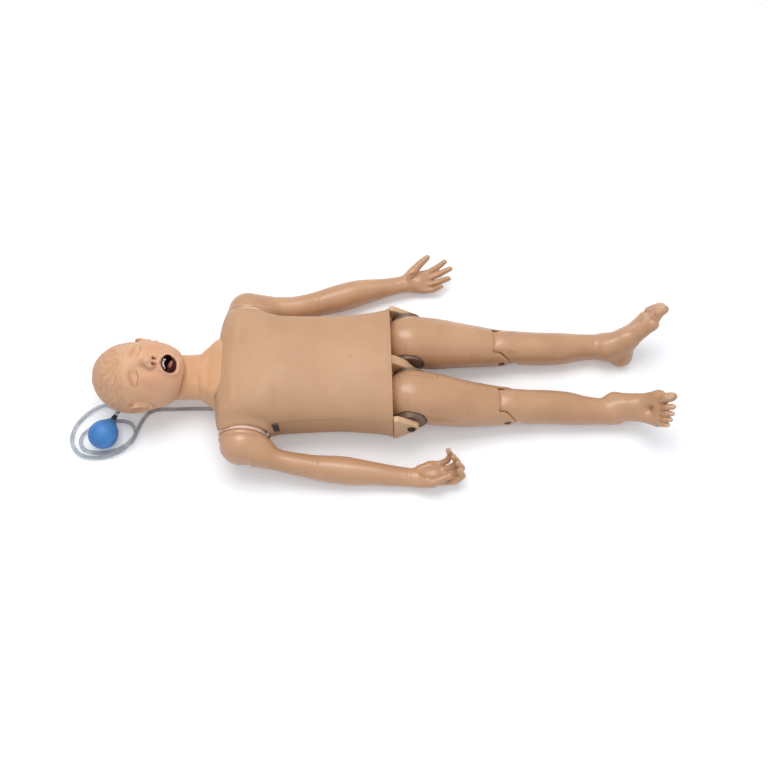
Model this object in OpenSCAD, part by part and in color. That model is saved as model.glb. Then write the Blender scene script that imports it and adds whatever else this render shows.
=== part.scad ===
// Child training manikin lying on its back: a soft chest skin over a rigid torso,
// a head that tilts and turns on a neck post, arms on shoulder rings, legs hinged
// at the hips and knees, and a squeeze bulb on a length of clear tubing.
// Millimetres. The origin is the middle of the flat of the back, on the floor.
// The head lies towards -X, the feet towards +X, the manikin's left is +Y, the face is up.

/* [Head] */
// Length of the head from chin to crown
head_l = 190; // [185:1:198]
// Width of the head over the temples
head_w = 138; // [134:1:144]
// Depth of the head from the back of the skull to the brow
head_d = 164; // [160:1:168]
// How far the head is tipped back at rest, degrees
head_back = 6; // [0:1:9]
// How far the head is turned to its right at rest, degrees
head_yaw = 7; // [0:1:10]
// Width of the open mouth
mouth_w = 34; // [30:1:36]
// Height of the open mouth
mouth_h = 24; // [20:1:26]
// Depth of the mouth
mouth_depth = 34; // [28:1:38]
// Wall of the mouth lining
lining_t = 1.6; // [1.2:0.1:2]
// Length of the ear
ear_l = 44; // [38:1:50]

/* [Neck] */
// Width of the neck
neck_w = 95; // [92:1:97]
// Depth of the neck from nape to throat
neck_d = 72; // [66:1:74]
// Radius of the hollow in the head that the neck turns in
socket_r = 51; // [51:0.5:52]
// Distance from the shoulders to the centre that the head turns about
neck_l = 103; // [100:1:106]
// Thickness of the neck skin's collar
bib_t = 2.5; // [2:0.1:3]
// Radius of the fixed neck post
post_r = 14; // [12:0.5:15]
// Radius of the swivel spindle in the neck post
spindle_r = 8; // [6:0.5:9]
// Radius of the head's tilt pin
pin_r = 4; // [3:0.5:5]

/* [Torso] */
// Length of the flat of the back
back_l = 330; // [324:1:336]
// Width of the chest over the armholes
chest_w = 254; // [250:1:258]
// Depth of the chest
chest_d = 149; // [146:1:152]
// Thickness of the chest skin
skin_t = 3; // [2.5:0.25:3.5]
// Wall of the rigid torso under the skin
torso_t = 4; // [3:0.5:5]
// Height of the skin's lower edge above the floor
skin_edge_z = 30; // [26:1:34]
// Clearance between the skin and the torso under it
shell_gap = 2.4; // [2:0.1:3]

/* [Chest mechanism] */
// Length of the compression plate
plate_l = 130; // [110:1:150]
// Width of the compression plate
plate_w = 110; // [90:1:130]
// Thickness of the compression plate
plate_t = 4; // [3:0.5:5]
// Height of the plate's underside above the floor
plate_z = 118; // [112:1:120]
// Radius of the spring, to the middle of its wire
spring_r = 20; // [18:1:24]
// Radius of the spring's wire
wire_r = 2; // [1.5:0.25:2.5]
// Turns of the spring
spring_turns = 6; // [5:1:7]
// Radius of the plunger inside the spring
plunger_r = 10; // [8:0.5:12]

/* [Shoulders] */
// Distance of the shoulder joints from the upper end of the back
shoulder_down = 34; // [32:1:36]
// Height of the shoulder joints above the floor
shoulder_z = 75; // [73:1:77]
// Radius of the arm's round end face
cap_r = 44; // [42:1:45]
// Radius of the shoulder ring
ring_r = 47; // [46:0.5:48]
// Radius of the chest skin's armhole
armhole_r = 55; // [53:1:57]
// Radius of the shoulder bolt
shoulder_bolt_r = 6; // [5:0.5:7]
// Gap between the shoulder ring and the arm
ring_gap = 0.5; // [0.4:0.1:0.8]

/* [Pelvis and hips] */
// Distance from the skin's hem to the hip bolts
hip_down = 36; // [35:1:38]
// Distance of each thigh's middle from the centre line
hip_y = 62; // [61:0.5:63]
// Height of the hip bolts above the floor
hip_z = 80; // [79:1:82]
// Radius of the thigh's round top end
thigh_r = 52; // [51:0.5:52.5]
// Gap between the thigh and the pelvis around it
hip_gap = 2; // [1.5:0.5:3]
// Radius of the hip blocks
block_r = 30; // [28:1:32]
// Radius of the hip bolts
hip_bolt_r = 5; // [4:0.5:6]
// Thickness of the pelvis flange beside each hip
flange_t = 13; // [11:1:14]

/* [Legs] */
// Length of the thigh from hip bolt to knee bolt
thigh_l = 196; // [190:1:202]
// Length of the lower leg from knee bolt to ankle
shank_l = 215; // [208:1:222]
// Height of the knee bolts above the floor
knee_z = 45; // [44:1:47]
// Distance of each knee's middle from the centre line
knee_y = 67; // [66:0.5:69]
// Radius of the knee cap's round
knee_r = 39.5; // [38.5:0.5:40]
// Half width of the knee's tongue between the thigh's ears
tongue_half = 25; // [23:0.5:26]
// Radius of the thigh's ears round the knee bolt
ear_r = 16; // [14:0.5:17]
// Radius of the knee bolts
knee_bolt_r = 4; // [3:0.5:5]
// Sideways drift of both legs to the manikin's right, per unit of length
leg_drift = 0.021; // [0:0.001:0.025]
// Length of the foot
foot_l = 165; // [158:1:172]
// How far the toes point down, degrees from square to the shin
foot_point = 21; // [15:1:26]
// How far each foot is turned out, degrees
foot_out = 22; // [15:1:26]
// Thickness of the injection pad let into the right thigh
pad_t = 4; // [3:0.5:5]

/* [Pulse bulb and tubing] */
// Radius of the squeeze bulb
bulb_r = 29; // [27:0.5:31]
// Outer diameter of the tubing
tube_d = 8; // [7:0.5:8]
// Radius of the connector on the bulb
connector_r = 5.5; // [5:0.25:6]

/* [Hidden] */

skin_colour = [0.83, 0.66, 0.51];
limb_colour = [0.80, 0.61, 0.45];
face_colour = [0.84, 0.65, 0.53];
neck_colour = [0.85, 0.62, 0.43];
ring_colour = [0.90, 0.75, 0.68];
block_colour = [0.45, 0.36, 0.29];
bolt_colour = [0.16, 0.12, 0.10];
steel_colour = [0.70, 0.71, 0.72];
bore_gap = 0.05;
hole_gap = 0.2;
seat_gap = 0.3;
cut_size = 400;

top_x = -back_l / 2;
hem_x = back_l / 2;
body_z = 72;
shoulder_x = top_x + shoulder_down;
head_x = top_x - neck_l - 17;
head_z = 74;
hip_x = hem_x + hip_down;
knee_x = hip_x + thigh_l;
ankle_x = knee_x + shank_l;

// Smooth curve through rows of numbers, with steps points from each row to the next
function curve(a, b, c, d, t) = 0.5 * (2 * b + (c - a) * t
    + (2 * a - 5 * b + 4 * c - d) * t * t + (3 * b - a - 3 * c + d) * t * t * t);
function smooth_rows(rows, steps) = let (last = len(rows) - 1) [
    for (i = [0 : last - 1]) for (k = [0 : steps - 1])
        curve(rows[max(i - 1, 0)], rows[i], rows[i + 1], rows[min(i + 2, last)], k / steps),
    rows[last]];
// Signed power, for superellipse sections
function spow(v, p) = sign(v) * pow(abs(v), p);
function unit(v) = v / norm(v);
function ring_mean(ring) = [for (k = [0 : 2]) [for (p = ring) p[k]] * [for (p = ring) 1] / len(ring)];

// Closed solid through rings of equally many points, with a fan over each end
module loft_rings(rings) {
    sides = len(rings[0]);
    count = len(rings);
    points = [for (ring = rings) each ring, ring_mean(rings[0]), ring_mean(rings[count - 1])];
    walls = [for (i = [0 : count - 2]) for (j = [0 : sides - 1]) let (
        a = i * sides + j, b = i * sides + (j + 1) % sides) each [
        [b, a, b + sides], [b + sides, a, a + sides]]];
    ends = [for (j = [0 : sides - 1]) each [
        [count * sides, j, (j + 1) % sides],
        [count * sides + 1, (count - 1) * sides + (j + 1) % sides, (count - 1) * sides + j]]];
    polyhedron(points, concat(walls, ends));
}

// Limb along X: each row is x, y, z, half width and half height
function limb_ring(row, sides, power) = [for (j = [0 : sides - 1]) let (a = 360 * j / sides)
    [row[0], row[1] + row[3] * spow(cos(a), 2 / power), row[2] + row[4] * spow(sin(a), 2 / power)]];
module limb(rows, sides = 16, steps = 2, power = 2)
    loft_rings([for (row = smooth_rows(rows, steps)) limb_ring(row, sides, power)]);

// Round tube along a path, each row is x, y, z and radius
function path_ring(rows, i, sides) = let (
    here = [rows[i][0], rows[i][1], rows[i][2]],
    before = rows[max(i - 1, 0)], after = rows[min(i + 1, len(rows) - 1)],
    along = unit([after[0] - before[0], after[1] - before[1], after[2] - before[2]]),
    helper = abs(along[2]) > 0.9 ? [1, 0, 0] : [0, 0, 1],
    across = unit(cross(helper, along)), up = cross(along, across))
    [for (j = [0 : sides - 1]) let (a = 360 * j / sides)
        here + rows[i][3] * (across * cos(a) + up * sin(a))];
module path_tube(rows, sides = 8)
    loft_rings([for (i = [0 : len(rows) - 1]) path_ring(rows, i, sides)]);

// Finger or toe: a path tube whose tip is rounded off
function finger_rows(points, r0, r1, steps) = let (
    rows = smooth_rows(points, steps), last = len(rows) - 1,
    tip = rows[last], out = unit(tip - rows[last - 1]))
    concat([for (i = [0 : last]) let (r = r0 + (r1 - r0) * i / last) concat(rows[i], [r])],
        [concat(tip + out * r1 * 0.6, [r1 * 0.78]), concat(tip + out * r1 * 0.95, [r1 * 0.3])]);
module finger(points, r0, r1) path_tube(finger_rows(points, r0, r1, 2), 7);

// One moulding whose overlapping forms become a single surface
module moulding() resize([0, 0, 0]) children();

// Cylinder along Y from y0 to y1, and along X from x0 to x1
module rod_y(r, y0, y1, sides = 64) translate([0, y0, 0]) rotate([-90, 0, 0])
    cylinder(r = r, h = y1 - y0, $fn = sides);
module rod_x(r, x0, x1, sides = 64) translate([x0, 0, 0]) rotate([0, 90, 0])
    cylinder(r = r, h = x1 - x0, $fn = sides);
module side_rod(side, r, y0, y1, sides = 64)
    rod_y(r, side > 0 ? y0 : -y1, side > 0 ? y1 : -y0, sides);

// Head. Its surface is a smooth blend of two ellipsoids seen from the head's middle,
// with low swells and hollows for the brow, eyes, nose, lips, cheeks and chin.
skull = [[-0.116 * head_l, 0, -4], [head_l * 0.384, head_w / 2, head_d / 2 - 2]];
face = [[head_l * 0.116, 0, head_d * 0.06], [head_l * 0.42, head_w * 0.485, head_d * 0.415]];
function hit(dir, egg) = let (
    d = [for (k = [0 : 2]) dir[k] / egg[1][k]], c = [for (k = [0 : 2]) egg[0][k] / egg[1][k]],
    aa = d * d, bb = d * c, cc = c * c - 1) (bb + sqrt(bb * bb - aa * cc)) / aa;
// Swells and hollows of the face: x, y, height, half length and half width
face_forms = [[-4, 0, 3, 16, 44], [14, 27, -6, 9, 13], [14, -27, -6, 9, 13],
    [16, 26, 3.5, 5, 9], [16, -26, 3.5, 5, 9], [32, 0, 8, 20, 8], [50, 0, 15, 9, 9],
    [53, 9, 5, 6, 5], [53, -9, 5, 6, 5], [46, 34, 3, 20, 15], [46, -34, 3, 20, 15],
    [76, 0, 13, 20, 24], [66, 0, 3, 4, 19], [96, 0, 9, 5, 17]];
function swell(x, y) = [for (f = face_forms) f[2]
    * exp(-pow((x - f[0]) / f[3], 2) - pow((y - f[1]) / f[4], 2))] * [for (f = face_forms) 1];
function head_point(lat, lon) = let (
    dir = [-cos(lat), sin(lat) * cos(lon), sin(lat) * sin(lon)],
    a = hit(dir, skull), b = hit(dir, face),
    r = pow(pow(a, 14) + pow(b, 14), 1 / 14), p = r * dir,
    lift = dir[2] > 0 ? min(1, dir[2] * 2) * swell(p[0], p[1]) : 0,
    wave = p[0] < -46 && dir[2] > -0.6 ? 1.1 * cos(11 * lon + 3 * lat) * sin(7 * lat) : 0)
    p + dir * wave + [0, 0, lift];
head_rings = 25;
head_sides = 36;
module head_form() loft_rings([for (i = [1 : head_rings - 1])
    [for (j = [0 : head_sides - 1]) head_point(180 * i / head_rings, 360 * j / head_sides)]]);
module head_ear(side) translate([12, side * head_w * 0.485, -6]) rotate([side * -12, 14, 0])
    difference() {
        scale([ear_l / 2, 7, 15]) sphere(r = 1, $fn = 16);
        translate([-1, side * 6, 3]) scale([ear_l / 3, 5, 9]) sphere(r = 1, $fn = 13);
    }
// Head pose at rest, about the neck's turning centre
module posed_head() translate([head_x, 0, head_z]) rotate([head_yaw, 0, 0]) rotate([0, -head_back, 0])
    translate([-52, -2, 17.5]) children();
mouth_x = head_l / 2 - 15;
module oval(w, h) polygon([for (j = [0 : 31]) [h / 2 * cos(j * 11.25), w / 2 * sin(j * 11.25)]]);
mouth_top = head_d * 0.475;
module mouth_pocket() translate([mouth_x, 0, mouth_top - mouth_depth])
    linear_extrude(mouth_depth + 30) oval(mouth_w, mouth_h);

lug_r = 11;
lug_out = 20;
swivel_half = 11;
module head() color(face_colour) moulding() union() {
    head_hollowed();
    head_lugs();
}
module head_hollowed() difference() {
    posed_head() difference() {
        union() {
            head_form();
            for (side = [-1, 1]) head_ear(side);
        }
        mouth_pocket();
    }
    translate([head_x, 0, head_z]) {
        sphere(r = socket_r, $fn = 32);
        rotate([0, 90, 0]) cylinder(r1 = socket_r, r2 = socket_r + socket_flare, h = 80, $fn = 32);
    }
}
socket_flare = 4;
// Lugs inside the head's hollow, on either side of the swivel
module head_lugs() translate([head_x, 0, head_z]) difference() {
    for (side = [-1, 1]) hull() {
        side_rod(side, lug_r, swivel_half + seat_gap, lug_out, 24);
        translate([-socket_r - 3, side > 0 ? swivel_half + seat_gap : -lug_out, -lug_r])
            cube([4, lug_out - swivel_half - seat_gap, 2 * lug_r]);
    }
    rod_y(pin_r + hole_gap, -60, 60, 24);
}

module mouth_lining() color([0.30, 0.06, 0.06]) posed_head()
    translate([mouth_x, 0, mouth_top - mouth_depth + seat_gap]) difference() {
        linear_extrude(mouth_depth - 6) oval(mouth_w - 2 * seat_gap, mouth_h - 2 * seat_gap);
        translate([0, 0, lining_t])
            linear_extrude(mouth_depth) oval(mouth_w - 2 * lining_t, mouth_h - 2 * lining_t);
    }

// Upper teeth: a row of rounded teeth on a curved gum, at the top of the mouth
module upper_teeth() color([0.95, 0.93, 0.88]) posed_head()
    translate([mouth_x, 0, mouth_top - 15]) intersection() {
        linear_extrude(9) oval(mouth_w - 2 * lining_t - 0.4, mouth_h - 2 * lining_t - 0.4);
        union() {
            for (k = [-3 : 3]) let (a = k * 19) translate([3.5 - 12 * cos(a), 12 * sin(a), 1])
                cylinder(r = 2.1, h = 8, $fn = 20);
            difference() {
                translate([3.5, 0, 0]) cylinder(r = 14, h = 5, $fn = 48);
                translate([3.5, 0, -1]) cylinder(r = 10.5, h = 8, $fn = 48);
                translate([-0.5, -20, -1]) cube([20, 40, 8]);
            }
        }
    }

module tongue() color([0.85, 0.55, 0.55]) posed_head()
    translate([mouth_x, 0, mouth_top - mouth_depth + lining_t + seat_gap])
        limb([[-4, 0, 3, 3, 2.6], [0, 0, 4, 8, 3.6], [4, 0, 8, 9, 7.6], [7, 0, 10, 7.5, 9.6],
            [9, 0, 10, 3, 5]], 12, 2);

// Tilt pin across the head, and the swivel that it passes through
module head_pin() color(steel_colour) translate([head_x, 0, head_z]) rod_y(pin_r, -lug_out, lug_out);
post_end_x = head_x + 22;
module neck_swivel() color(steel_colour) translate([head_x, 0, head_z]) difference() {
    union() {
        translate([-12, -swivel_half, -12]) cube([12 + 22 - seat_gap, 2 * swivel_half, 24]);
        rod_x(spindle_r - bore_gap, 20, 80);
    }
    rod_y(pin_r + bore_gap, -20, 20);
}
module neck_post() color(steel_colour) translate([0, 0, head_z]) difference() {
    union() {
        rod_x(post_r, post_end_x, top_x + 14);
        rod_x(28, top_x + 6 + torso_t + seat_gap, top_x + 18);
    }
    rod_x(spindle_r, post_end_x - 1, top_x + 30);
}

// Neck skin: a smooth neck that flares into a collar over the chest. Each row is
// x, half width, half height, middle height and how far the front leans down the chest.
neck_rows = [[head_x - 15, 0.93, 0.92, 73.5, 0], [head_x - 4, 0.985, 0.97, 73.5, 0], [head_x + 14, 1, 0.98, 73, 0],
    [head_x + 30, 1, 1, 72.5, 0], [head_x + 46, 0.99, 1.03, 72, 0],
    [head_x + 60, 1.02, 1.1, 72, 4], [head_x + 72, 1.12, 1.2, 73, 13], [head_x + 77, 1.23, 1.35, 75, 21],
    [head_x + 79.5, 1.30, 1.41, 76, 28]];
function neck_ring(row, shrink, push) = [for (j = [0 : 31]) let (a = j * 11.25)
    [row[0] + push + row[4] * (1 + sin(a)) / 2, (neck_w / 2 * row[1] - shrink) * cos(a),
        row[3] + (neck_d / 2 * row[2] - shrink) * sin(a)]];
neck_smooth = smooth_rows(neck_rows, 2);
neck_hem = neck_rows[len(neck_rows) - 1];
neck_end = [head_x + 98, 0.95, 1.02, 74, 16];
module neck_skin() color(neck_colour) moulding() difference() {
    loft_rings(concat([for (row = neck_smooth) neck_ring(row, 0, 0)],
        [neck_ring(neck_hem, 1.5, bib_t), neck_ring(neck_hem, 14, bib_t + 1), neck_ring(neck_end, 0, 0)]));
    translate([0, 0, head_z]) {
        rod_x(post_r + hole_gap, head_x, 0, 32);
        translate([head_x - 20, 0, 0]) rotate([0, 90, 0]) cylinder(r1 = 29, r2 = 25, h = 43, $fn = 32);
    }
}

// Chest skin sections: x, half width, height of the front, lean of the front edge
chest_half = chest_w / 2;
chest_rows = [[top_x - 33, 56, 0.83, 24], [top_x - 31, 70, 0.845, 23], [top_x - 27, 90, 0.86, 20],
    [top_x - 21, chest_half - 19, 0.875, 17], [top_x - 12, chest_half - 6, 0.893, 12],
    [top_x - 1, chest_half, 0.915, 6], [top_x + 17, chest_half - 0.5, 0.955, 0],
    [top_x + 50, chest_half - 5, 0.99, 0], [top_x + 95, chest_half - 8, 1, 0],
    [0, chest_half - 11, 0.975, 0], [hem_x - 100, chest_half - 11, 0.95, 0],
    [hem_x - 45, chest_half - 6, 0.955, 0], [hem_x - 12, chest_half - 1, 0.985, 0],
    [hem_x, chest_half + 4, 1.005, 0]];
chest_power = 3;
function chest_point(row, a, inset, push) = let (
    up = sin(a) > 0 ? chest_d * row[2] - body_z - inset : body_z)
    [row[0] + push + row[3] * (1 + sin(a)) / 2, (row[1] - inset) * spow(cos(a), 2 / chest_power),
        body_z + up * spow(sin(a), 2 / chest_power)];
edge_angle = asin(pow((body_z - skin_edge_z) / body_z, chest_power / 2));
skin_steps = 22;
function skin_angle(j) = -edge_angle + (180 + 2 * edge_angle) * j / skin_steps;
// The first rows turn in towards the neck, so there the thickness runs along X
function wall_in(i) = i == 0 ? 0 : i < 4 ? skin_t * i / 4 : skin_t;
function wall_push(i) = i < 4 ? skin_t * (1 - i / 5) : i < 6 ? skin_t * 0.2 : 0;
function skin_ring(i, extra) = let (row = chest_rows[i]) concat(
    [for (j = [0 : skin_steps]) chest_point(row, skin_angle(j), 0, 0)],
    [for (j = [skin_steps : -1 : 0]) chest_point(row, skin_angle(j), wall_in(i), wall_push(i))]);
module skin_loft() {
    rings = [for (i = [0 : len(chest_rows) - 1]) skin_ring(i, 0)];
    size = len(rings[0]);
    last = (len(rings) - 1) * size;
    walls = [for (i = [0 : len(rings) - 2]) for (j = [0 : size - 1]) let (
        a = i * size + j, b = i * size + (j + 1) % size) each [
        [b, a, b + size], [b + size, a, a + size]]];
    ends = [for (j = [0 : skin_steps - 1]) let (k = size - 1 - j) each [
        [j, j + 1, k], [k, j + 1, k - 1],
        [last + j + 1, last + j, last + k - 1], [last + k - 1, last + j, last + k]]];
    polyhedron([for (ring = rings) each ring], concat(walls, ends));
}
module chest_skin() color(skin_colour) moulding() difference() {
    skin_loft();
    for (side = [-1, 1]) translate([shoulder_x + 4, 0, shoulder_z - 5]) side_rod(side, armhole_r, 80, 180, 40);
}

// Rigid torso under the skin: flat back, open front, with holes for the shoulder rings
function torso_ring(row, inset, low, high) = [for (j = [0 : 35]) let (a = j * 10,
    p = chest_point([row[0], row[1], row[2], 0], a, inset, 0),
    z = sin(a) > 0 ? p[2] : body_z + (body_z + 8) * spow(sin(a), 2 / chest_power))
    [p[0], p[1], min(high, max(low, z))]];
torso_inset = skin_t + shell_gap;
torso_x0 = top_x + 6;
torso_x1 = hem_x - 71;
cavity_x0 = torso_x0 + torso_t;
cavity_x1 = torso_x1 - torso_t;
rim_z = plate_z - 4;
torso_rows = concat([[torso_x0, chest_half - 3, 0.93, 0]], [for (i = [6 : 10]) chest_rows[i]],
    [[torso_x1, chest_half - 9, 0.95, 0]]);
module torso_outer() loft_rings([for (row = torso_rows) torso_ring(row, torso_inset, 0, rim_z)]);
module torso_cavity() loft_rings([for (row = torso_rows) let (x = min(cavity_x1, max(cavity_x0, row[0])))
    [for (p = torso_ring([x, row[1], row[2]], torso_inset + torso_t, torso_t, rim_z + 20))
        p[2] > body_z ? [p[0], p[1], rim_z + 20] : p]]);
module torso_shell() color([0.82, 0.70, 0.58]) moulding() difference() {
    torso_outer();
    torso_cavity();
    for (side = [-1, 1]) translate([shoulder_x, 0, shoulder_z])
        side_rod(side, ring_r + seat_gap, 60, 180, 48);
    translate([0, 0, head_z]) rod_x(post_r + hole_gap, top_x - 20, cavity_x0 + 1, 32);
    translate([cavity_x0, 0, 0]) translate(grommet_at - [cavity_x0, 0, 0] + [-10, 0, 0]) rod_x(tube_d / 2 + 2, -10, 40, 24);
}

// Compression plate with its plunger, the spring round it and the seat below
module plate_outline() hull() for (x = [-1, 1]) for (y = [-1, 1])
    translate([x * (plate_l / 2 - 25), y * (plate_w / 2 - 25)]) circle(r = 25, $fn = 48);
plate_x = -40;
press_travel = 35;
seat_t = 4;
seat_top = torso_t + seat_t;
module chest_plate() color([0.92, 0.92, 0.90]) translate([plate_x, 0, plate_z]) union() {
    linear_extrude(plate_t) plate_outline();
    translate([0, 0, -(plate_z - seat_top - press_travel - 20)])
        cylinder(r = plunger_r, h = plate_z - seat_top - press_travel - 20, $fn = 48);
}
module spring_seat() color([0.25, 0.25, 0.27]) translate([plate_x, 0, torso_t]) difference() {
    union() {
        cylinder(r = spring_r + wire_r + 6, h = seat_t, $fn = 64);
        cylinder(r = plunger_r + 4, h = 60, $fn = 48);
    }
    translate([0, 0, 2]) cylinder(r = plunger_r + bore_gap * 4, h = 80, $fn = 48);
}
spring_h = plate_z - seat_top - 2 * wire_r - 2 * seat_gap;
module chest_spring() color([0.55, 0.56, 0.58]) path_tube([for (i = [0 : spring_turns * 12])
    let (a = i * 30) [plate_x + spring_r * cos(a), spring_r * sin(a),
        seat_top + wire_r + seat_gap + spring_h * i / (spring_turns * 12), wire_r]], 5);

// Lung bag: a flat pillow over the plate, with its tube back to the neck
bag_z = plate_z + plate_t + 6.5;
module lung_bag() color([0.85, 0.88, 0.90]) loft_rings([for (k = [-6 : 6]) let (
    u = sin(k * 15), w = pow(max(0.02, 1 - pow(abs(u), 4)), 0.25))
    [for (j = [0 : 19]) let (a = j * 18) [plate_x + 66 * u, 60 * w * spow(cos(a), 0.5),
        bag_z + 6 * pow(w, 1.5) * sin(a)]]]);

// Fastening straps of the skin, tucked under the armpits
module side_strap(side) color(bolt_colour)
    translate([shoulder_x + armhole_r + 12, side * (chest_half - 7.1), 84]) rotate([0, 0, side * -4])
        translate([0, side > 0 ? 0 : -3, 0]) union() {
            translate([-6, 0, -16]) cube([12, 3, 32]);
            translate([0, side > 0 ? 3 : 0, 8]) rotate([-90 * side, 0, 0]) cylinder(r = 4, h = 1.5, $fn = 24);
        }

grommet_at = [top_x + 4, -42, 12];
module tube_grommet() color(bolt_colour) translate(grommet_at) difference() {
    union() {
        rod_x(tube_d / 2 + 5, -1, 2);
        rod_x(tube_d / 2 + 2 - hole_gap, 1.9, 9);
    }
    rod_x(tube_d / 2 - 1, -2, 12);
    rod_x(tube_d / 2 + bore_gap, -2, 1);
}

// Shoulder ring on the torso, and the bolt that the arm turns on
ring_face = chest_half + 8;
ring_back = chest_half - 13;
arm_face = ring_face + ring_gap;
module shoulder_ring(side) color(ring_colour) translate([shoulder_x, 0, shoulder_z]) difference() {
    union() {
        side_rod(side, ring_r, ring_back, ring_face - 5);
        translate([0, side * (ring_face - 5), 0]) rotate([side * -90, 0, 0])
            cylinder(r1 = ring_r, r2 = ring_r - 2, h = 5, $fn = 64);
    }
    side_rod(side, shoulder_bolt_r + bore_gap, ring_back - 1, ring_face + 1);
    side_rod(side, ring_r - 12, ring_back - 1, ring_face - 10);
}
module shoulder_bolt(side) color(steel_colour) translate([shoulder_x, 0, shoulder_z]) {
    side_rod(side, shoulder_bolt_r, ring_face - 22, arm_face + 26);
    side_rod(side, shoulder_bolt_r + 5, ring_face - 20, ring_face - 10.5, 6);
}

// Arms: x, y, z, half width and half height from under the shoulder to the wrist
arm_l_rows = [[-105, 158, 70, 27, 30], [-86, 161, 64, 27, 28], [-62, 165, 58, 26, 27], [-37, 169, 53, 26, 26],
    [-11, 177, 47, 27, 27], [14, 187, 42, 28, 27], [40, 197, 38, 30, 29], [66, 206, 35, 31, 30],
    [93, 215, 33, 30, 29], [119, 222, 31, 27, 26], [148, 228, 30, 23, 22], [175, 234, 30, 20.5, 18],
    [196, 239, 29, 20, 16], [206, 242, 29, 19, 13]];
arm_r_rows = [[-105, -166, 68, 27, 30], [-84, -171, 62, 25, 27], [-62, -177, 55, 22, 23], [-41, -182, 50, 22, 22.5],
    [-14, -186, 44, 23, 23.5], [13, -190, 38, 25, 25], [42, -192, 33, 27, 27], [72, -195, 30, 28, 27],
    [100, -198, 28, 25.5, 25], [129, -201, 26, 22.5, 22.5], [158, -205, 24, 21, 19], [185, -208, 22, 19.5, 16.5],
    [204, -210, 21, 19, 15], [214, -210, 21, 18, 12]];
// Fingers as points from knuckle to tip: thumb, index, middle, ring and little
hand_l = [[[208, 252, 32], [228, 270, 43], [242, 281, 52], [254, 288, 59]],
    [[236, 262, 28], [254, 268, 28], [276, 276, 37], [293, 284, 47]],
    [[236, 252, 26], [257, 256, 25], [282, 264, 31], [305, 271, 39]],
    [[236, 243, 23], [255, 242, 22], [280, 245, 27], [300, 248, 35]],
    [[232, 234, 20], [248, 230, 18], [268, 229, 21], [283, 231, 30]]];
hand_r = [[[214, -222, 26], [238, -226, 36], [256, -222, 43], [271, -217, 45]],
    [[240, -216, 22], [260, -219, 21], [284, -220, 25], [297, -214, 37], [292, -209, 49]],
    [[240, -206, 20], [262, -207, 18], [287, -205, 26], [296, -200, 43], [290, -196, 56]],
    [[240, -196, 20], [258, -196, 18], [281, -192, 28], [288, -187, 44], [282, -183, 57]],
    [[236, -188, 22], [252, -184, 20], [270, -180, 32], [276, -174, 48], [272, -170, 60]]];
finger_r = [[9.5, 6.5], [7.2, 5.6], [7.4, 5.6], [7, 5.4], [6.4, 4.8]];
module palm(knuckles, wrist, thumb_root) {
    hull() {
        translate(wrist) scale([0.6, 1.05, 0.8]) sphere(r = 17, $fn = 14);
        for (p = knuckles) translate(p) sphere(r = 9, $fn = 10);
    }
    hull() {
        translate(wrist) scale([0.6, 0.9, 0.75]) sphere(r = 16, $fn = 14);
        translate(thumb_root) sphere(r = 11, $fn = 10);
    }
}
module arm(side) {
    rows = side > 0 ? arm_l_rows : arm_r_rows;
    hand = side > 0 ? hand_l : hand_r;
    wrist = side > 0 ? [204, 241, 28] : [212, -210, 21];
    color(limb_colour) moulding() difference() {
        union() {
            hull() {
                translate([shoulder_x, 0, shoulder_z]) side_rod(side, cap_r, arm_face, arm_face + 6, 32);
                translate([shoulder_x - 1, side * (arm_face + 18), shoulder_z - 1])
                    scale([1.02, 1, 1.02]) sphere(r = cap_r - 5, $fn = 26);
                translate([shoulder_x + 34, side * (arm_face + 26), 66]) sphere(r = 26, $fn = 18);
            }
            limb(rows, 18, 1);
            palm([for (k = [1 : 4]) hand[k][1]], wrist, hand[0][1]);
            for (k = [0 : 4]) finger(hand[k], finger_r[k][0], finger_r[k][1]);
        }
        translate([shoulder_x, 0, shoulder_z])
            side_rod(side, shoulder_bolt_r + hole_gap, arm_face - 60, arm_face + 26 + seat_gap, 24);
        translate([shoulder_x, side * (arm_face - 60), shoulder_z]) cube([260, 120, 260], center = true);
    }
}

// Pelvis: a rigid brief with round leg openings, a flange outside each hip and a web
// between the thighs. Rows are x, half width and height of the front.
web_half = 10;
flange_in = hip_y + thigh_r + hip_gap + 1;
flange_out = flange_in + flange_t;
pelvis_rows = [[hem_x - 70, flange_in - 7, 134], [hem_x - 45, flange_in - 3, 136],
    [hem_x - 12, flange_in + 2, 136], [hem_x, flange_in + 4, 132], [hem_x + 20, flange_in, 117],
    [hem_x + 40, flange_in - 8, 94], [hem_x + 51, flange_in - 24, 76], [hem_x + 56, flange_in - 50, 58]];
function pelvis_ring(row) = [for (j = [0 : 35]) let (a = j * 10, up = sin(a) > 0 ? row[2] - body_z : 71)
    [row[0], row[1] * spow(cos(a), 2 / chest_power), max(1.5, body_z + up * spow(sin(a), 2 / chest_power))]];
hip_flex = 70;
well_r = thigh_r + hip_gap;
module leg_room() {
    sphere(r = well_r, $fn = 28);
    intersection() {
        rotate([90, 0, 0]) linear_extrude(4 * well_r, center = true) polygon([
            [0, -well_r], [cut_size, -well_r - cut_size / 4], [cut_size, cut_size],
            [cut_size * cos(hip_flex) - well_r * sin(hip_flex), cut_size * sin(hip_flex) + well_r * cos(hip_flex)],
            [-well_r * sin(hip_flex), well_r * cos(hip_flex)], [0, 0]]);
        translate([-well_r, -(hip_y - web_half), -cut_size / 2])
            cube([cut_size, flange_in - web_half, cut_size]);
    }
}
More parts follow.
